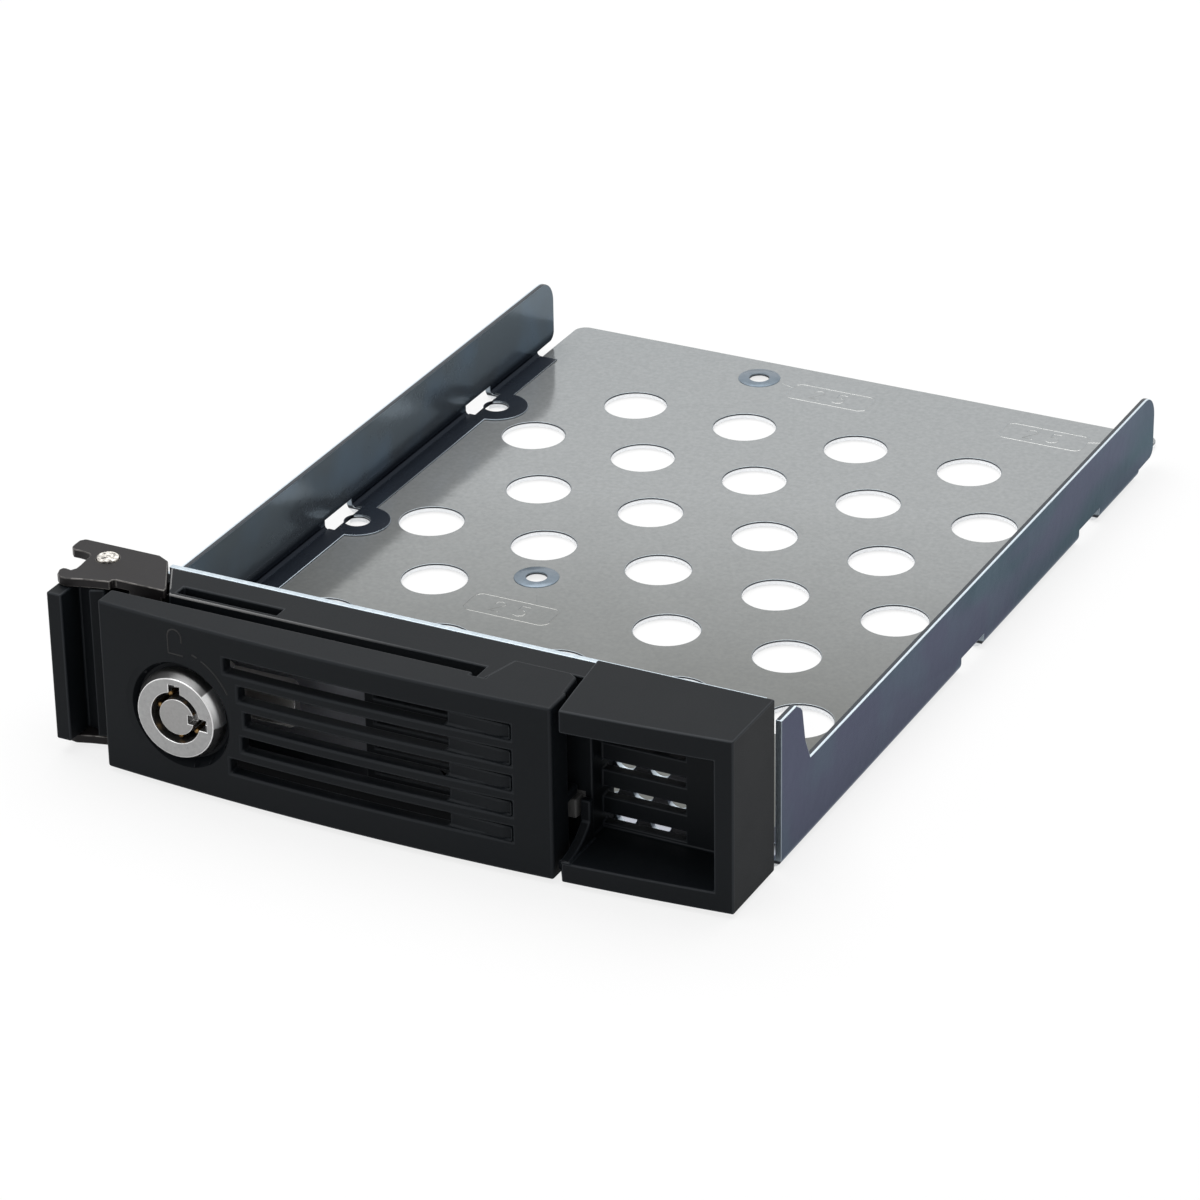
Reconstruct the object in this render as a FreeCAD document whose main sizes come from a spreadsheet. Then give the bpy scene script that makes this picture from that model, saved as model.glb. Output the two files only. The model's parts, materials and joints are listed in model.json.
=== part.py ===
# Hot swap drive caddy for a server: folded tray, moulded front, swinging handle with a cam lock.
# Millimetres. +X is right, +Y is the rear (the drive's connectors), +Z is up. The origin is the
# centre of the 3.5-inch drive hole pattern, on the underside of the tray.
import FreeCAD, Part
import math
import os
import Sketcher
from FreeCAD import Placement, Rotation, Vector

SIZES = [
    # the drive the tray is made for
    ("drive_half", 50.8, "half the width of a 3.5-inch drive"),
    ("bay_gap", 0.05, "gap on each side of the drive"),
    ("hole_x", 47.625, "3.5-inch hole pattern, half spacing across"),
    ("hole_y", 22.225, "3.5-inch hole pattern, half spacing along"),
    ("hole_r", 1.85, "clearance hole for a 6-32 screw"),
    ("small_left", -14.98, "2.5-inch hole pattern, left column"),
    ("small_wide", 61.72, "2.5-inch hole pattern, spacing across"),
    ("small_front", -27.1, "2.5-inch hole pattern, front row"),
    ("small_long", 76.6, "2.5-inch hole pattern, spacing along"),
    ("small_r", 1.6, "clearance hole for an M3 screw"),
    ("small_head_r", 3.35, "screw head seat under the floor"),
    ("small_head_deep", 0.45, "depth of that seat"),
    # folded tray
    ("sheet", 0.9, "sheet thickness"),
    ("bend", 0.6, "inside radius of every fold"),
    ("wall_top", 12.2, "top of the side walls"),
    ("wall_back", 48.3, "rear end of the side walls"),
    ("wall_round", 4.0, "top rear corner of a side wall"),
    ("wall_foot", 1.5, "bottom rear corner of a side wall"),
    ("free_from", 42.5, "from here back the walls stand free of the floor"),
    ("floor_back", 55.75, "rear edge of the floor"),
    ("floor_tail", 50.0, "half width of the floor behind the folds"),
    ("floor_round", 2.0, "rear corners of the floor"),
    ("tab_front", -86.4, "front edge of the side walls"),
    ("tab_back", -81.8, "rear end of the level top of the front tab"),
    ("tab_top", 22.0, "top of the front tab"),
    ("relief_long", 8.0, "cut through a fold beside each drive screw"),
    ("relief_top", 2.2, "top of that cut"),
    ("relief_deep", 2.4, "how far that cut reaches in from the wall"),
    ("air_r", 4.9, "air holes in the floor"),
    ("air_step_x", 18.84, "air holes, spacing across"),
    ("air_step_y", 16.49, "air holes, spacing of the rows"),
    ("air_back", 32.16, "air holes, rearmost row"),
    ("flange_top", 25.4, "top of the front flange"),
    ("flange_from_pin", 8.4, "left end of the flange's full height, from the pin"),
    ("flange_half", 50.0, "outer ends of the flange"),
    ("jaw_clear_y", -82.6, "the jaws swing in front of this line"),
    ("jaw_clear_low", 2.3, "top of the space for the lower jaw"),
    ("jaw_clear_high", 24.2, "underside of the space for the upper jaw"),
    # moulded front frame
    ("front_low", 0.5, "underside of the front"),
    ("front_high", 25.9, "top of the handle, the finger box and the jaws"),
    ("frame_high", 25.4, "top of the strip behind the handle"),
    ("frame_back", -87.9, "rear face of the frame, front face of the flange"),
    ("frame_front", -94.9, "front edge of the strip"),
    ("wall", 2.0, "moulded wall thickness"),
    ("front_y", -103.25, "front face at the middle"),
    ("bow", 463.0, "radius of the bowed front face"),
    ("inner_front", -94.3, "front face of the slotted inner plate"),
    ("inner_thick", 1.5, "thickness of the slotted inner plate"),
    ("inner_left", -5.6, "left end of the slotted inner plate"),
    ("inner_slot_left", -4.1, "left end of its slots"),
    ("slot_high", 2.2, "height of the vent slots"),
    ("slot_low", 5.0, "lower edge of the lowest slot"),
    ("slot_pitch", 3.77, "spacing of the slots"),
    ("cam_slot_before", 4.6, "slot in the strip for the cam, left of the lock axis"),
    ("cam_slot_after", 10.8, "slot in the strip for the cam, right of the lock axis"),
    ("cam_slot_gap", 0.2, "gap on each face of the cam in that slot"),
    ("box_proud", 0.7, "right side of the finger box, out from the drive's side"),
    ("box_wide", 23.8, "width of the finger box at its front"),
    ("box_lean", 1.65, "how far its left side leans out towards the rear"),
    ("box_lintel", 22.6, "underside of the box roof"),
    ("box_sill", 3.4, "top of the box floor"),
    ("box_post", 2.7, "thickness of the box's right wall"),
    ("box_wall_wide", 20.5, "width of the box's back wall, to the right of its slots included"),
    ("box_wall_front", -91.5, "front face of the box's back wall"),
    ("box_wall_thick", 1.6, "thickness of the box's back wall"),
    ("box_slot_wide", 12.1, "width of the slots in the box's back wall"),
    ("box_slot_high", 1.45, "height of the slots in the box's back wall"),
    ("box_slot_low", 4.0, "lower edge of the lowest slot in the box's back wall"),
    ("box_slot_pitch", 4.0, "spacing of the slots in the box's back wall"),
    ("pierce_r", 1.5, "pierced holes in the flange"),
    ("pierce_step", 5.0, "pierced holes, spacing across"),
    ("pierce_low", 3.45, "height of the lowest row of pierced holes"),
    ("pierce_rise", 4.15, "pierced holes, spacing of the rows"),
    ("pierce_vent_left", -6.65, "leftmost pierced hole behind the handle's vents"),
    ("pierce_box_out", 0.8, "leftmost pierced hole behind the box, left of the box's slots"),
    ("grid", 1.0, "grid on which the jaw, post and strip outlines are drawn"),
    ("boss_r", 2.6, "screw bosses of the frame"),
    ("boss_left_in", 8.8, "left frame screws, in from the drive's side"),
    ("boss_right_in", 5.8, "right frame screws, in from the drive's side"),
    ("boss_low", 7.5, "height of the lower frame screws"),
    ("boss_high", 18.5, "height of the upper frame screws"),
    ("frame_screw_r", 1.25, "frame screws, thread"),
    ("frame_screw_head_r", 2.3, "frame screws, head"),
    ("frame_screw_head", 1.5, "frame screws, head height"),
    ("frame_screw_deep", 3.0, "frame screws, depth in the moulding"),
    ("scoop", 9.0, "radius of the rise on the left of the box floor"),
    ("catch_from_box", 3.4, "left side of the catch block, from the box"),
    ("catch_wide", 2.7, "width of the catch block"),
    ("catch_deep", 2.2, "how far the catch block stands out of the inner plate"),
    ("catch_low", 6.7, "underside of the catch block beside the box"),
    ("catch_high", 9.5, "top of the catch block"),
    ("finger_gap", 0.15, "gap between the catch block and the handle's finger"),
    ("finger_high", 11.2, "top of the handle's finger"),
    # hinge
    ("pin_in", 3.4, "hinge pin, in from the drive's side"),
    ("pin_y", -90.0, "hinge pin"),
    ("pin_r", 1.55, "hinge pin radius"),
    ("pin_fit", 0.05, "running fit of the jaws on the pin"),
    ("pin_proud", 0.3, "how far the pin stands above the upper jaw"),
    ("post_out", 3.8, "left side of the hinge post, from the pin"),
    ("post_in", 3.1, "right side of the hinge post, from the pin"),
    ("post_wall", 2.5, "thickness of the wall behind the post"),
    ("post_gap", 0.15, "gap between the post and each jaw"),
    ("rib_wide", 2.3, "width of the stop rib"),
    ("rib_front", -99.8, "front of the stop rib"),
    # folded jaw bracket
    ("jaw_sheet", 1.3, "jaw bracket thickness"),
    ("jaw_front", -95.1, "front face of the bracket's web"),
    ("web_from_pin", 6.4, "left end of the web, from the pin"),
    ("web_wide", 5.1, "width of the web"),
    # moulded handle
    ("handle_from_pin", 5.3, "left end of the handle, from the pin"),
    ("handle_gap", 1.1, "gap between the handle's right end and the box's front"),
    ("handle_back", -97.7, "rear edge of the handle's lips"),
    ("vent_right", 11.4, "right end of the vents"),
    ("vent_tail", 20.8, "right end of the shallow grooves"),
    ("vent_tail_deep", 0.85, "depth of the grooves at the middle of the front"),
    ("wing_back", -92.5, "rear edge of the wings"),
    ("wing_wide", 10.2, "width of the wings at their rear edge, to the handle's right end"),
    ("wing_gap", 0.35, "gap between a wing and the frame"),
    ("web_screw_in", 2.7, "screws into the handle, from the web's left end"),
    ("web_low", 5.0, "height of the lower screw into the handle"),
    ("web_high", 21.4, "height of the upper screw into the handle"),
    ("web_screw_r", 1.0, "screws into the handle, thread"),
    ("web_screw_head_r", 1.8, "screws into the handle, head"),
    ("web_screw_head", 1.2, "screws into the handle, head height"),
    ("web_screw_deep", 4.2, "screws into the handle, depth in the moulding"),
    ("web_boss_r", 2.3, "bosses for those screws"),
    # cam lock
    ("lock_from_pin", 17.9, "lock axis, from the pin"),
    ("lock_z", 11.9, "height of the lock axis"),
    ("lock_face", -103.4, "front of the lock"),
    ("lock_seat", -100.9, "where the lock's head seats in the handle"),
    ("lock_head_r", 6.5, "lock head"),
    ("lock_cone_wide", 0.65, "cone round the lock's front, across"),
    ("lock_cone_deep", 1.4, "cone round the lock's front, along"),
    ("lock_barrel_r", 5.0, "threaded barrel"),
    ("lock_barrel_back", -94.1, "rear end of the barrel"),
    ("lock_bore_r", 3.75, "mouth of the key slot"),
    ("lock_fit", 0.05, "running fit of the plug in the body"),
    ("lock_shaft_r", 2.9, "plug shaft"),
    ("plug_post_r", 2.65, "middle post of the key slot"),
    ("plug_recess", 0.3, "how far the post sits behind the lock's front"),
    ("plug_floor", -99.0, "bottom of the key slot"),
    ("plug_shoulder", -97.5, "shoulder that keeps the plug in"),
    ("drive_side", 4.0, "square end that turns the cam"),
    ("recess_r", 7.8, "lock recess in the handle, at the front"),
    ("recess_floor_r", 7.0, "lock recess in the handle, at its floor"),
    ("seat_r", 8.6, "boss behind the lock recess"),
    ("seat_back", -98.6, "rear face of that boss"),
    ("washer_thick", 0.5, "washers of the lock"),
    ("nut_thick", 2.0, "lock nut"),
    ("nut_half", 6.25, "lock nut, half across the flats"),
    ("cam_front", -93.8, "front face of the cam"),
    ("cam_thick", 1.5, "cam thickness"),
    ("cam_long", 12.9, "cam, from the axis to the tip"),
    ("cam_half", 3.4, "cam, half width of the arm"),
    ("cam_hub_r", 4.6, "cam, round end"),
    ("cam_round", 1.0, "cam, corners of the tip"),
    ("cam_screw_r", 1.4, "cam screw, thread"),
    ("cam_screw_head_r", 2.9, "cam screw, head"),
    ("cam_screw_head", 1.5, "cam screw, head height"),
    ("cam_screw_deep", 3.6, "cam screw, depth in the plug"),
    ("key_pin_r", 0.42, "brass key pins"),
    ("key_pin_ring", 3.2, "circle the key pins stand on"),
    ("key_pin_front", -102.3, "front ends of the key pins"),
    ("notch_wide", 1.7, "notches in the lock's front ring"),
    ("notch_outer", 4.9, "outer end of the notches"),
    ("notch_deep", 1.6, "depth of the notches"),
    ("post_notch_wide", 1.3, "notch in the plug's post"),
]


class Size:
    """A value in millimetres that carries the spreadsheet expression it comes from."""

    def __init__(self, value, text):
        self.value, self.text = value, text

    def join(self, other, sign, value, turned=False):
        words = [self.text, other.text if isinstance(other, Size) else repr(float(other))]
        if turned:
            words.reverse()
        return Size(value, "(%s %s %s)" % (words[0], sign, words[1]))

    def __add__(self, other):
        return self.join(other, "+", self.value + number(other))

    def __sub__(self, other):
        return self.join(other, "-", self.value - number(other))

    def __mul__(self, other):
        return self.join(other, "*", self.value * number(other))

    def __truediv__(self, other):
        return self.join(other, "/", self.value / number(other))

    def __radd__(self, other):
        return self.join(other, "+", number(other) + self.value, True)

    def __rsub__(self, other):
        return self.join(other, "-", number(other) - self.value, True)

    def __rmul__(self, other):
        return self.join(other, "*", number(other) * self.value, True)

    def __neg__(self):
        return 0.0 - self


def number(value):
    return value.value if isinstance(value, Size) else float(value)


class Sheet:
    """The document's spreadsheet; each alias reads back as a Size."""

    def __init__(self, rows):
        self.cells = doc.addObject("Spreadsheet::Sheet", "Sizes")
        self.values = {}
        for row, (alias, value, note) in enumerate(rows, start=1):
            self.cells.set("A%d" % row, alias)
            self.cells.set("B%d" % row, str(value))
            self.cells.set("C%d" % row, note)
            self.cells.setAlias("B%d" % row, alias)
            self.values[alias] = value
        doc.recompute()

    def __getattr__(self, alias):
        return Size(self.values[alias], "Sizes.%s" % alias)


def bind(thing, path, value):
    """Drive one property from the spreadsheet when the value comes from there."""
    if isinstance(value, Size):
        thing.setExpression(path, value.text)


def new_body(label):
    body = doc.addObject("PartDesign::Body", label)
    body.Label = label
    return body


# ---- sketches: loops of (x, y) corners; a third entry bows the edge to the next corner ----

def arc_middle(start, end, radius):
    """Middle of the arc from start to end; a positive radius turns to the left on the way."""
    chord = end - start
    side = Vector(-chord.y, chord.x, 0).normalize() * math.copysign(1, radius)
    height = math.sqrt(max(radius * radius - chord.Length ** 2 / 4, 0))
    return (start + end) * 0.5 + side * (height - abs(radius))


def hold(sketch, kind, place, value):
    """One driven dimension."""
    index = sketch.addConstraint(Sketcher.Constraint(kind, *place, number(value)))
    bind(sketch, "Constraints[%d]" % index, value)


def hold_point(sketch, edge, end, x, y):
    hold(sketch, "DistanceX", (-1, 1, edge, end), x)
    hold(sketch, "DistanceY", (-1, 1, edge, end), y)


def draw_circle(sketch, x, y, radius):
    circle = Part.Circle(Vector(number(x), number(y), 0), Vector(0, 0, 1), number(radius))
    edge = sketch.addGeometry(circle, False)
    hold_point(sketch, edge, 3, x, y)
    hold(sketch, "Radius", (edge,), radius)


def draw_loop(sketch, corners):
    ends = []
    for here, after in zip(corners, corners[1:] + corners[:1]):
        start, end = (Vector(number(c[0]), number(c[1]), 0) for c in (here, after))
        if len(here) == 2:
            edge = sketch.addGeometry(Part.LineSegment(start, end), False)
            ends.append((edge, 1, 2))
            continue
        middle = arc_middle(start, end, number(here[2]))
        if number(here[2]) > 0:
            edge = sketch.addGeometry(Part.Arc(start, middle, end), False)
            ends.append((edge, 1, 2))
        else:
            # the sketcher keeps every arc counter-clockwise, so this one is drawn from its end
            edge = sketch.addGeometry(Part.Arc(end, middle, start), False)
            ends.append((edge, 2, 1))
    for (edge, _, end), (following, start, _) in zip(ends, ends[1:] + ends[:1]):
        sketch.addConstraint(Sketcher.Constraint("Coincident", edge, end, following, start))
    for (edge, start, _), corner in zip(ends, corners):
        hold_point(sketch, edge, start, corner[0], corner[1])
        if len(corner) == 3:
            radius = corner[2] if number(corner[2]) > 0 else -corner[2]
            hold(sketch, "Radius", (edge,), radius)


def new_sketch(body, plane, offset, loops):
    """offset is the sketch origin's (x, y, z) in the plane's own axes."""
    sketch = body.newObject("Sketcher::SketchObject", "Sketch")
    support = next(f for f in body.Origin.OriginFeatures if f.Role == plane + "_Plane")
    sketch.AttachmentSupport = (support, [""])
    sketch.MapMode = "FlatFace"
    sketch.AttachmentOffset = Placement(Vector(*(number(v) for v in offset)), Rotation())
    for axis, value in zip("xyz", offset):
        bind(sketch, "AttachmentOffset.Base." + axis, value)
    for loop in loops:
        if isinstance(loop, tuple):
            draw_circle(sketch, *loop)
        else:
            draw_loop(sketch, loop)
    return sketch


def prism(body, kind, plane, low, high, *loops):
    """Pad or pocket between two planes. XY loops are (x, y), XZ loops (x, z), YZ loops (y, z).

    A pad leaves its sketch along the plane's normal and a pocket against it, and the XZ
    plane's normal is -Y; low and high are always coordinates along +X, +Y or +Z.
    """
    if plane == "XZ":
        near, far = -high, -low
    else:
        near, far = low, high
    place = near if kind == "Pad" else far
    sketch = new_sketch(body, plane, (0, 0, place), loops)
    feature = body.newObject("PartDesign::" + kind, kind)
    feature.Profile = sketch
    feature.Length = number(high) - number(low)
    bind(feature, "Length", high - low)
    sketch.Visibility = False
    return feature


def turned(body, kind, x, z, profile):
    """Revolution or groove about the line along Y through (x, z); the profile is (radius, y)."""
    sketch = new_sketch(body, "XY", (x, 0, z), [profile])
    feature = body.newObject("PartDesign::" + kind, kind)
    feature.Profile = sketch
    feature.ReferenceAxis = (sketch, ["V_Axis"])
    feature.Angle = 360
    sketch.Visibility = False
    return feature


def rectangle(x0, y0, x1, y1):
    return [(x0, y0), (x1, y0), (x1, y1), (x0, y1)]


# ---- plain cylinders for screws, pins and washers ----

def cylinder(label, radius, length, base, along_y=True):
    rod = doc.addObject("Part::Cylinder", label)
    rod.Label = label
    turn = Rotation(Vector(1, 0, 0), -90) if along_y else Rotation()
    rod.Placement = Placement(Vector(*(number(v) for v in base)), turn)
    rod.Radius, rod.Height = number(radius), number(length)
    bind(rod, "Radius", radius)
    bind(rod, "Height", length)
    for axis, value in zip("xyz", base):
        bind(rod, "Placement.Base." + axis, value)
    return rod


def joined(kind, label, pieces):
    """Fusion or compound of plain pieces, as one named sub-part."""
    whole = doc.addObject(kind, label)
    whole.Label = label
    if kind == "Part::Compound":
        whole.Links = pieces
    else:
        whole.Shapes = pieces
    return whole


def pan_screw(label, x, z, seat, head_r, head, thread_r, thread, sense):
    """Screw along Y with its head on the +Y side of the seat when sense is 1."""
    head_y = seat if sense > 0 else seat - head
    thread_y = seat - thread if sense > 0 else seat
    return joined("Part::MultiFuse", label, [
        cylinder(label + "_head", head_r, head, (x, head_y, z)),
        cylinder(label + "_thread", thread_r, thread, (x, thread_y, z)),
    ])


# ---- shapes and places that several pieces share ----

class Across:
    """Places across the front. All of them follow the width of the drive."""

    def __init__(self):
        self.pin = S.pin_in - S.drive_half
        self.post_left, self.post_right = self.pin - S.post_out, self.pin + S.post_in
        self.rib_right = self.post_left + S.rib_wide
        self.web_left = self.pin + S.web_from_pin
        self.web_right = self.web_left + S.web_wide
        self.web_screw = self.web_left + S.web_screw_in
        self.lock = self.pin + S.lock_from_pin
        self.flange_left = self.pin + S.flange_from_pin
        self.box_right = S.drive_half + S.box_proud
        self.box_left = self.box_right - S.box_wide
        self.box_left_back = self.box_left - S.box_lean
        self.box_inner_left = self.box_right - S.box_post - S.box_wall_wide
        self.box_slot_right = self.box_inner_left + S.box_slot_wide
        self.handle_left = self.pin + S.handle_from_pin
        self.handle_right = self.box_left - S.handle_gap
        self.boss_left = S.boss_left_in - S.drive_half
        self.boss_right = S.drive_half - S.boss_right_in


def drawn(corners, x=0.0, y=0.0):
    """An outline drawn on the named grid, from the point (x, y)."""
    return [(x + S.grid * across, y + S.grid * along) for across, along in corners]


def front_at(x):
    """The bowed front face at x."""
    return S.front_y + x * x / (2 * S.bow)


def slot_rows(count):
    """Lower edges of the vent slots, from the bottom up."""
    return [S.slot_low + S.slot_pitch * row for row in range(count)]


def box_slot_rows():
    """Lower edges of the slots in the box's back wall, from the bottom up."""
    return [S.box_slot_low + S.box_slot_pitch * row for row in range(4)]


def wing_left_at(y):
    """Left edge of the handle's wings; it leans to the right towards the rear."""
    return X.handle_right - S.wing_wide + (y - S.wing_back) * 0.25


def make_tray():
    """One folded sheet: floor, two walls with front tabs, front flange."""
    body = new_body("tray")
    outer = S.drive_half + S.bay_gap + S.sheet
    inner = outer - S.sheet
    fold = S.bend + S.sheet
    flat = outer - fold
    prism(body, "Pad", "XZ", S.tab_front, S.free_from, [
        (-outer, S.tab_top), (-outer, fold, fold), (-flat, 0), (flat, 0, fold), (outer, fold),
        (outer, S.tab_top), (inner, S.tab_top), (inner, fold, -S.bend), (flat, S.sheet),
        (-flat, S.sheet, -S.bend), (-inner, fold), (-inner, S.tab_top)])
    prism(body, "Pocket", "YZ", -outer - 1, outer + 1, [
        (S.tab_back, S.tab_top + 1), (S.tab_back, S.tab_top),
        (S.tab_back + 1.3, S.tab_top - 0.9), (S.tab_back + 1.9, S.tab_top - 1.6),
        (S.tab_back + 2.9, S.tab_top - 6.6), (S.tab_back + 4.5, S.wall_top),
        (S.free_from + 1, S.wall_top), (S.free_from + 1, S.tab_top + 1)])
    for low, high in ((inner, outer), (-outer, -inner)):
        prism(body, "Pad", "YZ", low, high, [
            (S.free_from, fold), (S.wall_back - S.wall_foot, fold, S.wall_foot),
            (S.wall_back, fold + S.wall_foot),
            (S.wall_back, S.wall_top - S.wall_round, S.wall_round),
            (S.wall_back - S.wall_round, S.wall_top), (S.free_from, S.wall_top)])
    prism(body, "Pad", "XY", 0, S.sheet, [
        (-S.floor_tail, S.free_from - 1), (S.floor_tail, S.free_from - 1),
        (S.floor_tail, S.floor_back - S.floor_round, S.floor_round),
        (S.floor_tail - S.floor_round, S.floor_back),
        (S.floor_round - S.floor_tail, S.floor_back, S.floor_round),
        (-S.floor_tail, S.floor_back - S.floor_round)])
    flange_rear = S.frame_back + S.sheet
    prism(body, "Pad", "YZ", X.flange_left, S.flange_half, [
        (S.tab_front + 1, 0), (S.tab_front + 1, S.sheet), (S.frame_back + fold, S.sheet, -S.bend),
        (flange_rear, fold), (flange_rear, S.flange_top), (S.frame_back, S.flange_top),
        (S.frame_back, fold, fold), (S.frame_back + fold, 0)])
    prism(body, "Pad", "XZ", S.frame_back, flange_rear, rectangle(
        -S.flange_half, S.jaw_clear_low, X.flange_left + 1, S.jaw_clear_high))
    prism(body, "Pocket", "XY", -S.sheet, S.jaw_clear_low, rectangle(
        -outer - 1, S.frame_back - 1, X.flange_left, S.jaw_clear_y))
    for side in (-1, 1):
        for end in (-1, 1):
            middle = end * S.hole_y
            prism(body, "Pocket", "XY", -S.sheet, S.relief_top, rectangle(
                side * (outer - S.relief_deep), middle - S.relief_long / 2,
                side * (outer + 1), middle + S.relief_long / 2))
    prism(body, "Pocket", "XY", -S.sheet, S.sheet * 2, *tray_holes())
    prism(body, "Pocket", "XY", -S.sheet, S.small_head_deep,
          *((x, y, S.small_head_r) for x, y in small_holes()))
    prism(body, "Pocket", "XZ", S.frame_back - 1, flange_rear + 1,
          *((x, z, S.frame_screw_r) for x, z in frame_screw_places()))
    prism(body, "Pocket", "XZ", S.frame_back - 1, flange_rear + 1, *pierced_holes())
    return body


def small_holes():
    return [(S.small_left + S.small_wide * i, S.small_front + S.small_long * j)
            for i in range(2) for j in range(2)]


def tray_holes():
    """Drive screw holes and the staggered rows of air holes."""
    holes = [(i * S.hole_x, j * S.hole_y, S.hole_r) for i in (-1, 1) for j in (-1, 1)]
    holes += [(x, y, S.small_r) for x, y in small_holes()]
    for row in range(6):
        steps = (-1.5, -0.5, 0.5, 1.5) if row % 2 == 0 else (-2, -1, 0, 1, 2)
        for step in steps:
            beside_drive_screw = row == 4 and step == -0.5
            if not beside_drive_screw:
                holes.append((S.air_step_x * step, S.air_back - S.air_step_y * row, S.air_r))
    return holes


def pierced_holes():
    """Staggered rows of air holes in the flange, behind the vents and behind the finger box."""
    holes = []
    for left, count in (S.pierce_vent_left, 6), (X.box_inner_left - S.pierce_box_out, 3):
        for row in range(4):
            shorter = row % 2 == 0
            for number in range(count - shorter):
                holes.append((left + S.pierce_step * (number + shorter / 2),
                              S.pierce_low + S.pierce_rise * row, S.pierce_r))
    return holes


def frame_screw_places():
    return [(x, z) for x in (X.boss_left, X.boss_right) for z in (S.boss_low, S.boss_high)]


def make_front_frame():
    """One moulding: strip, slotted inner plate, hinge post with its stop rib, finger box."""
    body = new_body("front_frame")
    prism(body, "Pad", "XY", S.front_low, S.front_high, [
        (X.box_left_back, S.frame_back), (X.box_left, front_at(X.box_left), S.bow),
        (X.box_right, front_at(X.box_right)), (X.box_right, S.frame_back)])
    back = S.wing_back + S.wing_gap
    tongue = S.handle_back - 0.4
    tongue_right = wing_left_at(tongue) - S.wing_gap
    tongue_left = tongue_right - S.grid * 1.25
    strip = [(X.web_right - S.grid * 2.8, S.frame_back), (X.web_right + S.grid * 1.1, S.frame_front),
             (tongue_left, S.frame_front), (tongue_left, tongue), (tongue_right, tongue),
             (wing_left_at(back) - S.wing_gap, back), (X.box_left, back),
             (X.box_left, S.frame_back)]
    prism(body, "Pad", "XY", S.front_low, S.front_low + S.wall, strip)
    prism(body, "Pad", "XY", S.frame_high - S.wall, S.frame_high, strip)
    prism(body, "Pocket", "XY", S.box_sill, S.box_lintel, [
        (X.box_left_back - 1, S.inner_front), (X.box_inner_left, S.inner_front),
        (X.box_inner_left, S.box_wall_front), (X.box_right - S.box_post, S.box_wall_front),
        (X.box_right - S.box_post, S.front_y - 1), (X.box_left_back - 1, S.front_y - 1)])
    box_wall_back = S.box_wall_front + S.box_wall_thick
    prism(body, "Pocket", "XY", S.front_low + S.wall, S.box_lintel, rectangle(
        X.box_inner_left, box_wall_back, X.box_right - S.box_post, S.frame_back + 1))
    prism(body, "Pad", "YZ", X.box_left - S.grid * 0.3, X.box_left + S.grid * 1.1, [
        (S.handle_back - S.grid * 4.5, S.box_sill - 1),
        (S.handle_back - S.grid * 4.5, S.box_sill + S.grid * 0.2, S.scoop),
        (S.handle_back + S.grid * 1.6, S.box_sill + S.grid * 3.0),
        (S.handle_back + S.grid * 1.6, S.box_sill + S.grid * 6.1),
        (S.handle_back + S.grid * 2.8, S.box_sill + S.grid * 6.1),
        (S.handle_back + S.grid * 2.8, S.box_sill - 1)])
    inner_back = S.inner_front + S.inner_thick
    over_wing = S.front_low + S.wall + S.wing_gap
    prism(body, "Pad", "XZ", S.inner_front, inner_back, [
        (S.inner_left, S.front_low + 1), (tongue_left, S.front_low + 1), (tongue_left, over_wing),
        (X.box_left_back + 1.2, over_wing), (X.box_left_back + 1.2, S.frame_high - S.wall),
        (S.inner_left, S.frame_high - S.wall)])
    prism(body, "Pad", "XY", S.front_low + 1, S.frame_high - 1, rectangle(
        S.inner_left, S.inner_front, S.inner_left + S.inner_thick, S.frame_back))
    prism(body, "Pad", "XY", S.catch_low, S.catch_high, rectangle(
        X.box_left - S.catch_from_box, S.inner_front - S.catch_deep,
        X.box_left - S.catch_from_box + S.catch_wide, S.inner_front + 0.5))
    prism(body, "Pocket", "XZ", S.inner_front - 1, inner_back + 1, *(
        rectangle(S.inner_slot_left, z, S.vent_right, z + S.slot_high) for z in slot_rows(4)))
    prism(body, "Pocket", "XZ", S.box_wall_front - 1, box_wall_back + 1, *(
        rectangle(X.box_inner_left, z, X.box_slot_right, z + S.box_slot_high)
        for z in box_slot_rows()))
    low = S.front_low + S.jaw_sheet + S.post_gap
    high = S.front_high - S.jaw_sheet - S.post_gap
    prism(body, "Pad", "XY", low, high, rectangle(
        X.post_left, S.frame_back - S.post_wall, X.web_right + S.grid * 1.9, S.frame_back))
    prism(body, "Pad", "XY", low, high, [
        (X.post_left, S.frame_back), (X.post_left, S.rib_front), (X.rib_right, S.rib_front),
        (X.rib_right, S.pin_y - S.grid * 5.2), (X.pin + S.grid * 1.1, S.pin_y - S.grid * 5.2),
        (X.pin + S.grid * 1.1, S.pin_y - S.grid * 7), (X.post_right, S.pin_y - S.grid * 6.05),
        (X.post_right, S.frame_back)])
    prism(body, "Pocket", "XY", low - 1, high + 1, (X.pin, S.pin_y, S.pin_r))
    prism(body, "Pocket", "XY", S.frame_high - S.wall - 1, S.frame_high + 1, rectangle(
        X.lock - S.cam_slot_before, S.cam_front - S.cam_slot_gap,
        X.lock + S.cam_slot_after, S.cam_front + S.cam_thick + S.cam_slot_gap))
    places = frame_screw_places()
    prism(body, "Pad", "XZ", S.frame_back - 5.0, S.frame_back,
          *((x, z, S.boss_r) for x, z in places[:2]))
    prism(body, "Pad", "XZ", S.box_wall_front + 0.5, S.frame_back,
          *((x, z, S.boss_r) for x, z in places[2:]))
    prism(body, "Pocket", "XZ", S.frame_back - S.frame_screw_deep, S.frame_back + 1,
          *((x, z, S.frame_screw_r) for x, z in places))
    return body


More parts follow.
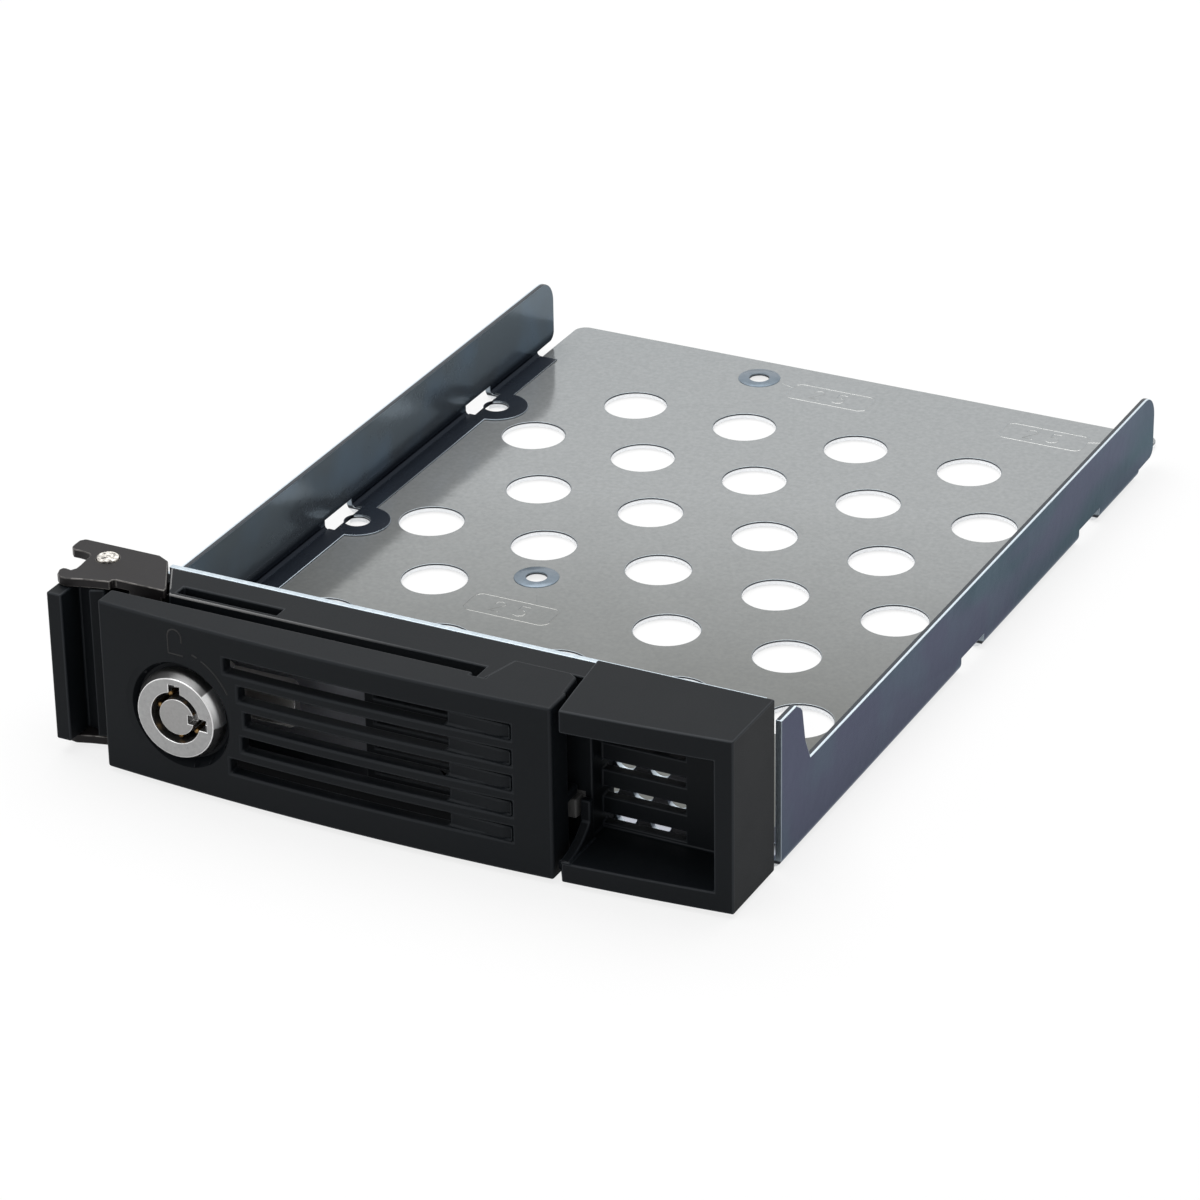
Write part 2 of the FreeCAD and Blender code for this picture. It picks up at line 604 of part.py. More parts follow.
def make_handle():
    """One moulding: bowed shell with vents, lock recess, rear wings and catch finger."""
    body = new_body("handle")
    left, right = X.handle_left, X.handle_right
    prism(body, "Pad", "XY", S.front_low, S.front_high, [
        (left, S.handle_back), (left, front_at(left), S.bow), (right, front_at(right)),
        (right, S.handle_back)])
    lips = ((S.front_low, S.front_low + S.wall), (S.front_high - S.wall, S.front_high))
    for low, high in lips:
        prism(body, "Pad", "XY", low, high, [
            (wing_left_at(S.handle_back - 1), S.handle_back - 1),
            (wing_left_at(S.wing_back), S.wing_back), (right - 2.0, S.wing_back),
            (right - 0.8, S.wing_back - 0.8), (right - 0.2, S.handle_back - 1)])
    prism(body, "Pocket", "XY", S.front_low + S.wall, S.front_high - S.wall, [
        (left + S.wall, S.handle_back + 1),
        (left + S.wall, front_at(left) + S.wall, S.bow),
        (right - S.wall, front_at(right) + S.wall), (right - S.wall, S.handle_back + 1)])
    prism(body, "Pocket", "XY", S.front_low - 1, S.front_high + 1, rectangle(
        wing_left_at(S.handle_back) - S.grid * 2.1, S.handle_back - S.grid * 0.8,
        wing_left_at(S.handle_back), S.handle_back + 0.01))
    prism(body, "Pad", "XZ", S.lock_seat - 1, S.seat_back, (X.lock, S.lock_z, S.seat_r))
    bosses = [(X.web_screw, z) for z in (S.web_low, S.web_high)]
    prism(body, "Pad", "XZ", front_at(left) + 1, S.jaw_front,
          *((x, z, S.web_boss_r) for x, z in bosses))
    prism(body, "Pocket", "XZ", S.jaw_front - S.web_screw_deep, S.jaw_front + 1,
          *((x, z, S.web_screw_r) for x, z in bosses))
    prism(body, "Pad", "XY", S.catch_high + S.finger_gap, S.finger_high, rectangle(
        right - S.wall, S.handle_back - 0.5, right, S.inner_front - 0.7))
    for z, end in zip(slot_rows(5), (7.8, 9.8, 10.4, 9.6, 7.5)):
        prism(body, "Pocket", "XZ", S.front_y - 1, S.handle_back - 1,
              rectangle(X.lock + S.grid * end, z, S.vent_right, z + S.slot_high))
    prism(body, "Pocket", "XZ", S.front_y - 1, S.front_y + S.vent_tail_deep, *(
        rectangle(S.vent_right - 0.5, z, S.vent_tail, z + S.slot_high) for z in slot_rows(5)))
    bore = S.lock_barrel_r + S.lock_fit
    turned(body, "Groove", X.lock, S.lock_z, [
        (0, S.front_y - 1), (S.recess_r + 0.8, S.front_y - 1), (S.recess_r, S.front_y + 0.95),
        (S.recess_floor_r, S.lock_seat), (bore, S.lock_seat), (bore, S.seat_back + 1),
        (0, S.seat_back + 1)])
    return body


def jaw_outline():
    """Outline shared by the two jaws, with the hooked mouth on the left."""
    return drawn([
        (-5.75, 0.3), (-6.3, 0.9), (-6.4, 1.6), (-6.4, 3), (-5.9, 3.6), (-5.6, 3.7), (6, 3.7),
        (7.9, 2.7), (11.85, -4.3), (12, -5.1), (4.4, -5.1), (4, -5.4), (4, -6), (3.2, -6.1),
        (0, -6.9), (-2.1, -7.6), (-3.2, -7.4), (-3.8, -6.8), (-4.2, -5.7), (-4, -5.05),
        (-3.5, -4.95), (-2.7, -5.1), (-2.3, -4.4), (-2.3, -3.4), (-2.6, -0.3), (-3.1, 0.1),
        (-4.6, 0.3)], X.pin, S.pin_y)


def make_jaw_bracket():
    """One folded sheet: two jaws joined by a web that is screwed to the handle."""
    body = new_body("jaw_bracket")
    prism(body, "Pad", "XY", S.front_low, S.front_high, rectangle(
        X.web_left, S.jaw_front, X.web_right, S.jaw_front + S.jaw_sheet))
    for low in (S.front_low, S.front_high - S.jaw_sheet):
        prism(body, "Pad", "XY", low, low + S.jaw_sheet, jaw_outline())
    prism(body, "Pocket", "XY", S.front_low - 1, S.front_high + 1,
          (X.pin, S.pin_y, S.pin_r + S.pin_fit))
    prism(body, "Pocket", "XZ", S.jaw_front - 1, S.jaw_front + S.jaw_sheet + 1, *(
        (X.web_screw, z, S.web_screw_r) for z in (S.web_low, S.web_high)))
    return body


def notch(angle, width, inner, outer):
    """Rectangular key notch at an angle about the lock axis, as an (x, z) loop."""
    c, s = math.cos(math.radians(angle)), math.sin(math.radians(angle))
    corners = ((inner, -0.5), (outer, -0.5), (outer, 0.5), (inner, 0.5))
    return [(X.lock + reach * c - width * side * s, S.lock_z + reach * s + width * side * c)
            for reach, side in corners]


def make_lock_body():
    """Turned body: head, threaded barrel and the stepped bore for the plug."""
    body = new_body("lock_body")
    shaft = S.lock_shaft_r + S.lock_fit
    turned(body, "Revolution", X.lock, S.lock_z, [
        (S.lock_bore_r, S.lock_face), (S.lock_head_r - S.lock_cone_wide, S.lock_face),
        (S.lock_head_r, S.lock_face + S.lock_cone_deep), (S.lock_head_r, S.lock_seat),
        (S.lock_barrel_r, S.lock_seat), (S.lock_barrel_r, S.lock_barrel_back),
        (shaft, S.lock_barrel_back), (shaft, S.plug_shoulder + S.lock_fit),
        (S.lock_bore_r, S.plug_shoulder + S.lock_fit)])
    for angle in (90, -3):
        prism(body, "Pocket", "XZ", S.lock_face - 1, S.lock_face + S.notch_deep,
              notch(angle, S.notch_wide, S.lock_bore_r - 0.8, S.notch_outer))
    return body


def make_lock_plug():
    """Turned plug: middle post of the key slot, shaft and the square end for the cam."""
    body = new_body("lock_plug")
    post = S.plug_post_r
    front = S.lock_face + S.plug_recess
    turned(body, "Revolution", X.lock, S.lock_z, [
        (0, front), (post, front), (post, S.plug_floor), (S.lock_bore_r - S.lock_fit, S.plug_floor),
        (S.lock_bore_r - S.lock_fit, S.plug_shoulder), (S.lock_shaft_r, S.plug_shoulder),
        (S.lock_shaft_r, S.cam_front), (0, S.cam_front)])
    half = S.drive_side / 2
    cam_back = S.cam_front + S.cam_thick
    prism(body, "Pad", "XZ", S.cam_front - 0.5, cam_back - 0.05, rectangle(
        X.lock - half, S.lock_z - half, X.lock + half, S.lock_z + half))
    prism(body, "Pocket", "XZ", cam_back - S.cam_screw_deep, cam_back + 1,
          (X.lock, S.lock_z, S.cam_screw_r))
    prism(body, "Pocket", "XZ", S.lock_face - 1, S.lock_face + S.notch_deep,
          notch(0, S.post_notch_wide, post - 0.9, post + 1))
    return body


def make_key_pins():
    """Seven brass pins that stand around the post at the bottom of the key slot."""
    pins = []
    for step in range(7):
        angle = math.radians(115 + step * 360 / 7)
        base = (X.lock + S.key_pin_ring * math.cos(angle), S.key_pin_front,
                S.lock_z + S.key_pin_ring * math.sin(angle))
        pins.append(cylinder("key_pin_%d" % step, S.key_pin_r, S.plug_floor - S.key_pin_front, base))
    return joined("Part::Compound", "key_pins", pins)


def make_ring(label, front, thick, outer_r, inner_r):
    body = new_body(label)
    prism(body, "Pad", "XZ", front, front + thick,
          (X.lock, S.lock_z, outer_r), (X.lock, S.lock_z, inner_r))
    return body


def make_lock_nut():
    body = new_body("lock_nut")
    corner = S.nut_half / math.cos(math.radians(30))
    hexagon = [(X.lock + corner * math.cos(math.radians(60 * i)),
                S.lock_z + corner * math.sin(math.radians(60 * i))) for i in range(6)]
    front = S.seat_back + S.washer_thick
    prism(body, "Pad", "XZ", front, front + S.nut_thick, hexagon,
          (X.lock, S.lock_z, S.lock_barrel_r))
    return body


def make_lock_cam():
    """Flat cam that points right when unlocked and turns up into the strip's slot."""
    body = new_body("lock_cam")
    x, z, back = X.lock, S.lock_z, S.cam_front + S.cam_thick
    tip, half, r = x + S.cam_long, S.cam_half, S.cam_round
    prism(body, "Pad", "XZ", S.cam_front, back, (x, z, S.cam_hub_r))
    prism(body, "Pad", "XZ", S.cam_front, back, [
        (x, z - half), (tip - r, z - half, r), (tip, z - half + r), (tip, z + half - r, r),
        (tip - r, z + half), (x, z + half)])
    side = S.drive_side / 2
    prism(body, "Pocket", "XZ", S.cam_front - 1, back + 1,
          rectangle(x - side, z - side, x + side, z + side))
    return body


def make_screws():
    flange_rear = S.frame_back + S.sheet
    frame_screws = [
        pan_screw("frame_screw_%d" % i, x, z, flange_rear, S.frame_screw_head_r,
                  S.frame_screw_head, S.frame_screw_r, S.frame_screw_deep + S.sheet, 1)
        for i, (x, z) in enumerate(frame_screw_places())]
    web_rear = S.jaw_front + S.jaw_sheet
    bracket_screws = [
        pan_screw("bracket_screw_%d" % i, X.web_screw, z, web_rear, S.web_screw_head_r,
                  S.web_screw_head, S.web_screw_r, S.web_screw_deep + S.jaw_sheet, 1)
        for i, z in enumerate((S.web_low, S.web_high))]
    cam_back = S.cam_front + S.cam_thick
    cam_screw = pan_screw("cam_screw", X.lock, S.lock_z, cam_back + S.washer_thick,
                          S.cam_screw_head_r, S.cam_screw_head, S.cam_screw_r,
                          S.cam_screw_deep + S.washer_thick, 1)
    return [joined("Part::Compound", "frame_screws", frame_screws),
            joined("Part::Compound", "bracket_screws", bracket_screws), cam_screw]


def make_hinge_pin():
    return cylinder("hinge_pin", S.pin_r, S.front_high - S.front_low + S.pin_proud + 0.1,
                    (X.pin, S.pin_y, S.front_low - 0.1), along_y=False)


def write(parts):
    """Check every object, then write one file for each sub-part."""
    doc.recompute()
    broken = [o.Label for o in doc.Objects if {"Invalid", "Error"} & set(o.State)]
    if broken:
        raise RuntimeError("not computed: %s" % ", ".join(broken))
    os.makedirs("parts", exist_ok=True)
    for part in parts:
        if part.Shape.isNull() or not part.Shape.isValid():
            raise RuntimeError("bad shape: %s" % part.Label)
        part.Shape.exportStep("parts/%s.step" % part.Label)
        print("%-16s %9.1f mm3" % (part.Label, part.Shape.Volume))


doc = FreeCAD.newDocument("drive_caddy")
S = Sheet(SIZES)
X = Across()
write([
    make_tray(), make_front_frame(), make_handle(), make_jaw_bracket(), make_hinge_pin(),
    make_lock_body(), make_lock_plug(), make_key_pins(),
    make_ring("lock_washer", S.seat_back, S.washer_thick, S.nut_half + 0.7, S.lock_barrel_r),
    make_lock_nut(), make_lock_cam(),
    make_ring("cam_washer", S.cam_front + S.cam_thick, S.washer_thick,
              S.cam_screw_head_r + 0.4, S.cam_screw_r),
    *make_screws(),
])
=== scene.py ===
import json
import math
import bmesh
import bpy
from bpy.props import FloatProperty, FloatVectorProperty, PointerProperty
from mathutils import Euler, Matrix, Vector


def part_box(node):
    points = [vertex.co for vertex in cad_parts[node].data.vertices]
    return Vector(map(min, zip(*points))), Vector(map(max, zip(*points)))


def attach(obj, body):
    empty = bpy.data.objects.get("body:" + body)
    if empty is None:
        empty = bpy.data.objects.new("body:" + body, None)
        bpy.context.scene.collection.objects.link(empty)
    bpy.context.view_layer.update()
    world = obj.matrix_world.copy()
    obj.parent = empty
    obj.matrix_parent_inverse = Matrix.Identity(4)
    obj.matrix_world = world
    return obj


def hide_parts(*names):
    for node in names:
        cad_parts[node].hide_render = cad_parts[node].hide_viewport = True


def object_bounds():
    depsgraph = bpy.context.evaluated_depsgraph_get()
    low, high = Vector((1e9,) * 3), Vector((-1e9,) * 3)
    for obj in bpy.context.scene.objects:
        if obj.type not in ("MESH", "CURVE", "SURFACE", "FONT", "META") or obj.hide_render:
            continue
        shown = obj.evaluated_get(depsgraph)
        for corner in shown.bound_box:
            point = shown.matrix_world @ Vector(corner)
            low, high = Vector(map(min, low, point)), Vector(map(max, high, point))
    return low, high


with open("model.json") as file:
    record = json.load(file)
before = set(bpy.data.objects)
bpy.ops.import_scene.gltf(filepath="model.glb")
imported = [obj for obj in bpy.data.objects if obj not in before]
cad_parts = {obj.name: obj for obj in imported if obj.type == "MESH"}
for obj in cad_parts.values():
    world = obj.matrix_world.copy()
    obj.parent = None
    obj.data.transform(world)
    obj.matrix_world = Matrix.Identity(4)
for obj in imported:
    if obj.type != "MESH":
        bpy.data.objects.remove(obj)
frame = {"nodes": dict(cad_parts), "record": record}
CAD_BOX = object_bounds()

bl_info = {
    "name": "Drive Caddy",
    "version": (1, 0, 0),
    "blender": (4, 5, 0),
    "location": "View3D > Sidebar > Drive Caddy",
    "description": "Finishes a hot swap drive caddy around its fixed frame",
    "category": "Object",
}

MM = 0.001
NODES = frame["nodes"]
BODY_OF = {node: body for body, nodes in frame["record"]["behaviour"]["bodies"].items()
           for node in nodes}


# ---- places read from the frame ----

def middle(node):
    low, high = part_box(node)
    return (low + high) / 2


def mount(name):
    return next(m for m in frame["record"]["mounts"] if m["name"] == name)


def hole_places(name):
    """Centres of a rectangular hole pattern, on the underside of the floor."""
    row = mount(name)
    x, y, _ = row["pos_m"]
    half_x = row["dims"]["spacing_x_mm"] * MM / 2
    half_y = row["dims"]["spacing_y_mm"] * MM / 2
    return [(x + i * half_x, y + j * half_y, 0.0) for i in (-1, 1) for j in (-1, 1)]


LOCK = middle("lock_body")
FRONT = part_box("handle")[0].y           # foremost line of the bowed front
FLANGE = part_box("front_frame")[1].y     # front face of the tray's flange
BOW_RADIUS = 463 * MM
SHEET = 0.9 * MM


# ---- sizes of the dressing ----

SEAM = 0.002 * MM                       # vertices closer than this are one
FLAT_ANGLE = math.radians(0.25)         # faces that turn less are one flat
EDGE_ANGLE = math.radians(32)           # edges that turn more are broken
ALIKE_ANGLE = math.radians(36)          # faces of the bow that shade as one
SMOOTH_ANGLE = math.radians(35)         # the same on the grown pieces
BOW_SKIN = 0.45 * MM                    # depth that follows the bow
BOW_NEAR = 0.04 * MM                    # depth taken as on the bow itself
BOW_STRIP = 2.5 * MM                    # widest strip of the sliced bow
LOCK_CLEAR = 9.0 * MM                   # edges nearer the lock stay sharp

# millimetres from here on
LAND_RISE, LAND_ROUND = 0.25, 0.08      # lands beside the tray's walls
LAND_INNER, LAND_OUTER, LAND_NOTCH = 47.1, 50.2, 49.2
LAND_FRONT, LAND_BACK = -82.4, 42.0
LAND_BOSS, LAND_HOLE, NOTCH_HALF = 5.0, 2.1, 4.2
SEAT_OUTER, SEAT_HOLE, SEAT_RISE = 3.35, 1.6, 0.12
STAMP_HALF, STAMP_SUNK = 0.24, 0.19     # stamped lines of the tray
MARK_HALF, MARK_SUNK = 0.15, 0.085      # moulded lines of the handle
JAW_EDGE, PIN_EDGE = 0.16, 0.25
KEY_PINS, KEY_PIN_REACH, KEY_PIN_RADIUS, KEY_PIN_FIRST = 7, 3.2, 0.42, 115
SCREWS = (                              # head radius and height, thread radius and length
    ("rear_screws", "frame_screws", (2.3, 1.5, 1.25, 3.9)),
    ("jaw_screws", "bracket_screws", (1.8, 1.2, 1.0, 5.5)),
    ("cam_fixing", "cam_screw", (2.9, 1.5, 1.4, 4.1)))


# ---- where the finishes and their painted light and shade change, in millimetres ----

FLOOR_START, FLOOR_LENGTH = -84.0, 92.0  # the floor's painted shade fades along this, darkest in front
PAINTED_SHEEN_EDGE = -83.8                       # floor and flange are pale before this, a painted reflection
FLOOR_TOP = 1.1                          # what is higher isn't the floor's
WALL_START = 50.1                        # the walls' folds start this far out
WALL_FOOT = 2.7                          # the left wall is darkened with painted shade below this
HOLE_LINE = 0.62                         # walls of the floor's holes are dark above this
FLANGE_TOP = -86.3                       # the flange's top edge lies before this
CATCH_X, CATCH_Z, CATCH_FRONT = (24.0, 27.3), (6.4, 9.8), -94.2     # pale catch block
RIM_LEFT, RIM_FRONT, RIM_Z = -35.4, -94.45, (25.1, 25.5)            # strip's rim, pale as a painted highlight
RIM_START, RIM_LENGTH = -36.0, 50.0      # the rim's painted highlight fades along this
LOCK_FLAT = 5.86                         # radius of the lock head's flat front


# ---- stage ----

LAMPS = (                                # place from the middle of the part, size, power
    ("overhead_softbox", (-0.05, 0.1, 0.75), 0.9, "key"),
    ("front_fill", (-0.25, -0.8, 0.35), 0.6, "fill"),
    ("left_softbox", (-0.8, -0.3, 0.15), 0.5, "left"),
    ("right_softbox", (0.8, -0.1, 0.3), 0.6, "side"))
CAMERA_PLACE = (280.457, -582.7, 321.718)
CAMERA_TURN = (62.701, 0.815, 26.744)    # degrees about x, y and z
FLOOR_REACH = 3.0


def bow_at(x):
    """The bowed front face at x."""
    return FRONT + x * x / (2 * BOW_RADIUS)


# ---- node arithmetic ----

class Field:
    """A node socket whose sums are written in Python and become Math nodes."""

    def __init__(self, tree, socket):
        self.tree, self.socket = tree, socket

    def math(self, operation, *values, clamp=False):
        return self.tree.node("ShaderNodeMath", {"operation": operation, "use_clamp": clamp},
                              dict(enumerate(values)))

    def __add__(self, other):
        return self.math("ADD", self, other)

    __radd__ = __add__

    def __sub__(self, other):
        return self.math("SUBTRACT", self, other)

    def __rsub__(self, other):
        return self.math("SUBTRACT", other, self)

    def __mul__(self, other):
        return self.math("MULTIPLY", self, other)

    __rmul__ = __mul__

    def __truediv__(self, other):
        return self.math("DIVIDE", self, other)

    def __pow__(self, other):
        return self.math("POWER", self, other)

    def __abs__(self):
        return self.math("ABSOLUTE", self)

    def clip(self):
        """Held between 0 and 1."""
        return self.math("ADD", self, 0.0, clamp=True)

    def over(self, edge, soft):
        """1 above the edge and 0 below it, over a soft step."""
        return ((self - edge) / soft + 0.5).clip()

    def between(self, low, high, soft):
        """1 from low to high and 0 outside, over soft steps."""
        return self.over(low, soft) * (1.0 - self.over(high, soft))

    def most(self, other):
        return self.math("MAXIMUM", self, other)


class Tree:
    """Adds nodes to a shader or geometry tree."""

    def __init__(self, tree):
        self.tree = tree

    def node(self, kind, settings=None, inputs=None, output=0):
        made = self.tree.nodes.new(kind)
        for key, value in (settings or {}).items():
            setattr(made, key, value)
        for key, value in (inputs or {}).items():
            socket = made.inputs[key]
            if isinstance(value, Field):
                self.tree.links.new(value.socket, socket)
            elif isinstance(value, list):
                for one in value:
                    self.tree.links.new(one.socket, socket)
            elif value is not None:
                socket.default_value = value
        return Field(self, made.outputs[output]) if made.outputs else made


class Finish(Tree):
    """A node material on one principled shader."""

    def __init__(self, name):
        self.material = bpy.data.materials.new(name)
        self.material.use_nodes = True
        self.material.node_tree.nodes.clear()
        super().__init__(self.material.node_tree)
        self.place = self.node("ShaderNodeTexCoord", output="Object")

    def axes(self):
        """Object coordinates in millimetres, as three fields."""
        return [self.node("ShaderNodeSeparateXYZ", None, {0: self.place}, k) * 1000.0
                for k in range(3)]

    def facing(self):
        """The surface normal as three fields."""
        turned = self.node("ShaderNodeNewGeometry", output="Normal")
        return [self.node("ShaderNodeSeparateXYZ", None, {0: turned}, k) for k in range(3)]

    def noise(self, size_mm, detail=2.0, rough=0.5, stretch=None):
        """Noise with features of about that size."""
        place = self.place
        if stretch:
            place = self.node("ShaderNodeMapping", None, {"Vector": place, "Scale": stretch})
        return self.node("ShaderNodeTexNoise", None,
                         {"Vector": place, "Scale": 1 / (size_mm * MM), "Detail": detail,
                          "Roughness": rough})

    def blend(self, factor, first, second):
        """Colour from first to second."""
        return self.node("ShaderNodeMix", {"data_type": "RGBA"},
                         {0: factor, 6: first, 7: second}, 2)

    def bump(self, height, depth_mm, strength=1.0, before=None):
        return self.node("ShaderNodeBump", None,
                         {"Height": height, "Distance": depth_mm * MM, "Strength": strength,
                          "Normal": before})

    def close(self, color, roughness, metallic=0.0, normal=None, specular=0.5,
              tint=(1.0, 1.0, 1.0, 1.0)):
        shader = self.node("ShaderNodeBsdfPrincipled", None, {
            "Base Color": color, "Roughness": roughness, "Metallic": metallic, "Normal": normal,
            "Specular IOR Level": specular, "Specular Tint": tint})
        self.node("ShaderNodeOutputMaterial", None, {"Surface": shader})
        return self.material


def grey(level, warm=0.0):
    """Linear grey, a little warmer or cooler."""
    return (level * (1 + warm), level, level * (1 - warm), 1.0)


# ---- meshes ----

def merged(name, node, joined, bowed):
    """The node's mesh as a new object: seams closed, flats joined, bowed front straight."""
    shape = bmesh.new()
    shape.from_mesh(NODES[node].data)
    bmesh.ops.remove_doubles(shape, verts=shape.verts, dist=SEAM)
    if bowed:
        shift_bow(shape, -1)
    if joined or bowed:
        bmesh.ops.dissolve_limit(shape, angle_limit=FLAT_ANGLE, verts=shape.verts,
                                 edges=shape.edges)
    mesh = bpy.data.meshes.new(name)
    verts = [v.co.copy() for v in shape.verts]
    shape.verts.index_update()
    faces = [[v.index for v in f.verts] for f in shape.faces]
    shape.free()
    mesh.from_pydata(verts, [], faces)
    mesh.validate()
    return add_object(name, mesh)


def shift_bow(shape, way):
    """Straightens the bowed front of a shape (way -1) or bows it again (way 1)."""
    for vert in shape.verts:
        bow = bow_at(vert.co.x) - FRONT
        depth = vert.co.y - FRONT - (bow if way < 0 else 0.0)
        if depth < BOW_SKIN:
            kept = depth if abs(depth) > BOW_NEAR else 0.0
            vert.co.y = FRONT + kept + (bow if way > 0 else 0.0)


def bowed_again(mesh):
    """Slices the straight mesh across, bows its front and sets its normals."""
    shape = bmesh.new()
    shape.from_mesh(mesh)
    low, high = min(v.co.x for v in shape.verts), max(v.co.x for v in shape.verts)
    steps = math.ceil((high - low) / BOW_STRIP)
    for step in range(1, steps):
        bmesh.ops.bisect_plane(shape, geom=shape.verts[:] + shape.edges[:] + shape.faces[:],
                               dist=1e-7, plane_no=(1, 0, 0),
                               plane_co=(low + (high - low) * step / steps, 0, 0))
    shift_bow(shape, 1)
    shape.to_mesh(mesh)
    shape.free()
    touching = [[] for _ in mesh.vertices]
    for face in mesh.polygons:
        for v in face.vertices:
            touching[v].append(face)
    alike, normals = math.cos(ALIKE_ANGLE), [None] * len(mesh.loops)
    for face in mesh.polygons:
        for loop in face.loop_indices:
            near = [other for other in touching[mesh.loops[loop].vertex_index]
                    if other.normal.dot(face.normal) > alike] or [face]
            main = [other for other in near if other.material_index != 1] or near
            total = sum((other.normal * other.area for other in main), Vector())
            normals[loop] = (total if total.length else face.normal).normalized()
    mesh.polygons.foreach_set("use_smooth", [True] * len(mesh.polygons))
    mesh.normals_split_custom_set(normals)


def add_object(name, mesh):
    made = bpy.data.objects.new(name, mesh)
    bpy.context.scene.collection.objects.link(made)
    return made


def solid_mesh(made):
    """Replaces the object's mesh by its evaluated one and drops the modifiers."""
    graph = bpy.context.evaluated_depsgraph_get()
    mesh = bpy.data.meshes.new_from_object(made.evaluated_get(graph), depsgraph=graph)
    old, made.data = made.data, mesh
    made.modifiers.clear()
    mesh.name = made.name
    bpy.data.meshes.remove(old)
    return made


def mark_cut_edges(mesh, thickness):
    """Material 1 on the sheet's narrow cut faces, apart from the lands left in the flange."""
    shape = bmesh.new()
    shape.from_mesh(mesh)
    for face in shape.faces:
        behind = face.calc_center_median().y - FLANGE
        if abs(face.normal.y) > 0.99 and -0.1 * SHEET < behind < 1.1 * SHEET:
            continue
        around = sum(edge.calc_length() for edge in face.edges)
        sharp = sum(edge.calc_length() for edge in face.edges
                    if len(edge.link_faces) == 2 and edge.calc_face_angle(0) > 1.0)
        if 2 * face.calc_area() / around < thickness * 1.05 and sharp > 0.1 * around:
            face.material_index = 1
    shape.to_mesh(mesh)
    shape.free()


def held_inside(mesh, node):
    """Keeps every vertex inside the node's own box."""
    low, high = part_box(node)
    for vert in mesh.vertices:
        vert.co = Vector(min(max(vert.co[k], low[k]), high[k]) for k in range(3))


def weigh_edges(mesh, angle):
    """Bevel weight on every sharp edge but those close round the lock."""
    shape = bmesh.new()
    shape.from_mesh(mesh)
    weight = shape.edges.layers.float.new("bevel_weight_edge")
    for edge in shape.edges:
        place = (edge.verts[0].co + edge.verts[1].co) / 2
        far = math.hypot(place.x - LOCK.x, place.z - LOCK.z) > LOCK_CLEAR
        sharp = len(edge.link_faces) == 2 and edge.calc_face_angle(0) > angle
        edge[weight] = float(far and sharp)
    shape.to_mesh(mesh)
    shape.free()


def dressed(name, node, edge_mm, main, edge, segments=2, cut=0.0, bowed=False):
    """The node with its edges broken, smooth where it curves, in its own finish."""
    made = merged(name, node, bool(cut), bowed)
    made.data.materials.append(main)
    made.data.materials.append(edge)
    if cut:
        mark_cut_edges(made.data, cut)
    made.data.polygons.foreach_set("use_smooth", [True] * len(made.data.polygons))
    broken = made.modifiers.new("edges", "BEVEL")
    broken.width, broken.segments = edge_mm * MM, segments
    broken.limit_method, broken.angle_limit = "ANGLE", EDGE_ANGLE
    broken.harden_normals, broken.use_clamp_overlap, broken.loop_slide = not bowed, False, False
    broken.material = 1
    if bowed:
        broken.limit_method = "WEIGHT"
        weigh_edges(made.data, broken.angle_limit)
    solid_mesh(made)
    if bowed:
        bowed_again(made.data)
    held_inside(made.data, node)
    return fitted(made, node)


def fitted(piece, *nodes):
    """Rides on the nodes' body and stands for them, which are hidden."""
    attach(piece, BODY_OF[nodes[0]])
    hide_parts(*nodes)
    return piece


# ---- drawn lines and flat outlines ----

def curve_mesh(name, data, material):
    """A curve as a plain mesh in its material."""
    made = add_object(name, data)
    graph = bpy.context.evaluated_depsgraph_get()
    mesh = bpy.data.meshes.new_from_object(made.evaluated_get(graph), depsgraph=graph)
    bpy.data.objects.remove(made)
    bpy.data.curves.remove(data)
    mesh.materials.clear()
    mesh.materials.append(material)
    return add_object(name, mesh)


def arc(centre, radius, start, end, steps=16):
    """Points on an arc between two angles in degrees."""
    return [(centre[0] + radius * math.cos(math.radians(start + (end - start) * i / steps)),
             centre[1] + radius * math.sin(math.radians(start + (end - start) * i / steps)))
            for i in range(steps + 1)]


def cords(name, paths, half_mm, material):
    """Round cords of that radius along paths of points in metres."""
    data = bpy.data.curves.new(name, "CURVE")
    data.dimensions, data.bevel_depth, data.bevel_resolution = "3D", half_mm * MM, 2
    data.use_fill_caps = True
    for path in paths:
        line = data.splines.new("POLY")
        line.points.add(len(path) - 1)
        for point, place in zip(line.points, path):
            point.co = (*place, 1)
    return curve_mesh(name, data, material)


def plate(name, outlines, rise_mm, round_mm, material):
    """A low flat plate through closed outlines in millimetres; inner outlines are holes."""
    data = bpy.data.curves.new(name, "CURVE")
    data.dimensions, data.fill_mode = "2D", "BOTH"
    data.extrude, data.bevel_depth = (rise_mm / 2 - round_mm) * MM, round_mm * MM
    data.offset, data.bevel_resolution = -round_mm * MM, 1
    for outline in outlines:
        line = data.splines.new("POLY")
        line.points.add(len(outline) - 1)
        line.use_cyclic_u = True
        for point, (x, y) in zip(line.points, outline):
            point.co = (x * MM, y * MM, 0, 1)
    return curve_mesh(name, data, material)


# ---- geometry node shapes that repeat ----

def shape_tree(name, sizes):
    """An empty geometry tree with a geometry input, named sizes and a material."""
    group = bpy.data.node_groups.new(name, "GeometryNodeTree")
    group.interface.new_socket("Geometry", in_out="INPUT", socket_type="NodeSocketGeometry")
    for label, value in sizes.items():
        socket = group.interface.new_socket(label, in_out="INPUT", socket_type="NodeSocketFloat")
        socket.default_value = value
    group.interface.new_socket("Material", in_out="INPUT", socket_type="NodeSocketMaterial")
    group.interface.new_socket("Geometry", in_out="OUTPUT", socket_type="NodeSocketGeometry")
    tree = Tree(group)
    start = group.nodes.new("NodeGroupInput")
    given = {socket.name: Field(tree, socket) for socket in start.outputs if socket.name}
    return tree, given


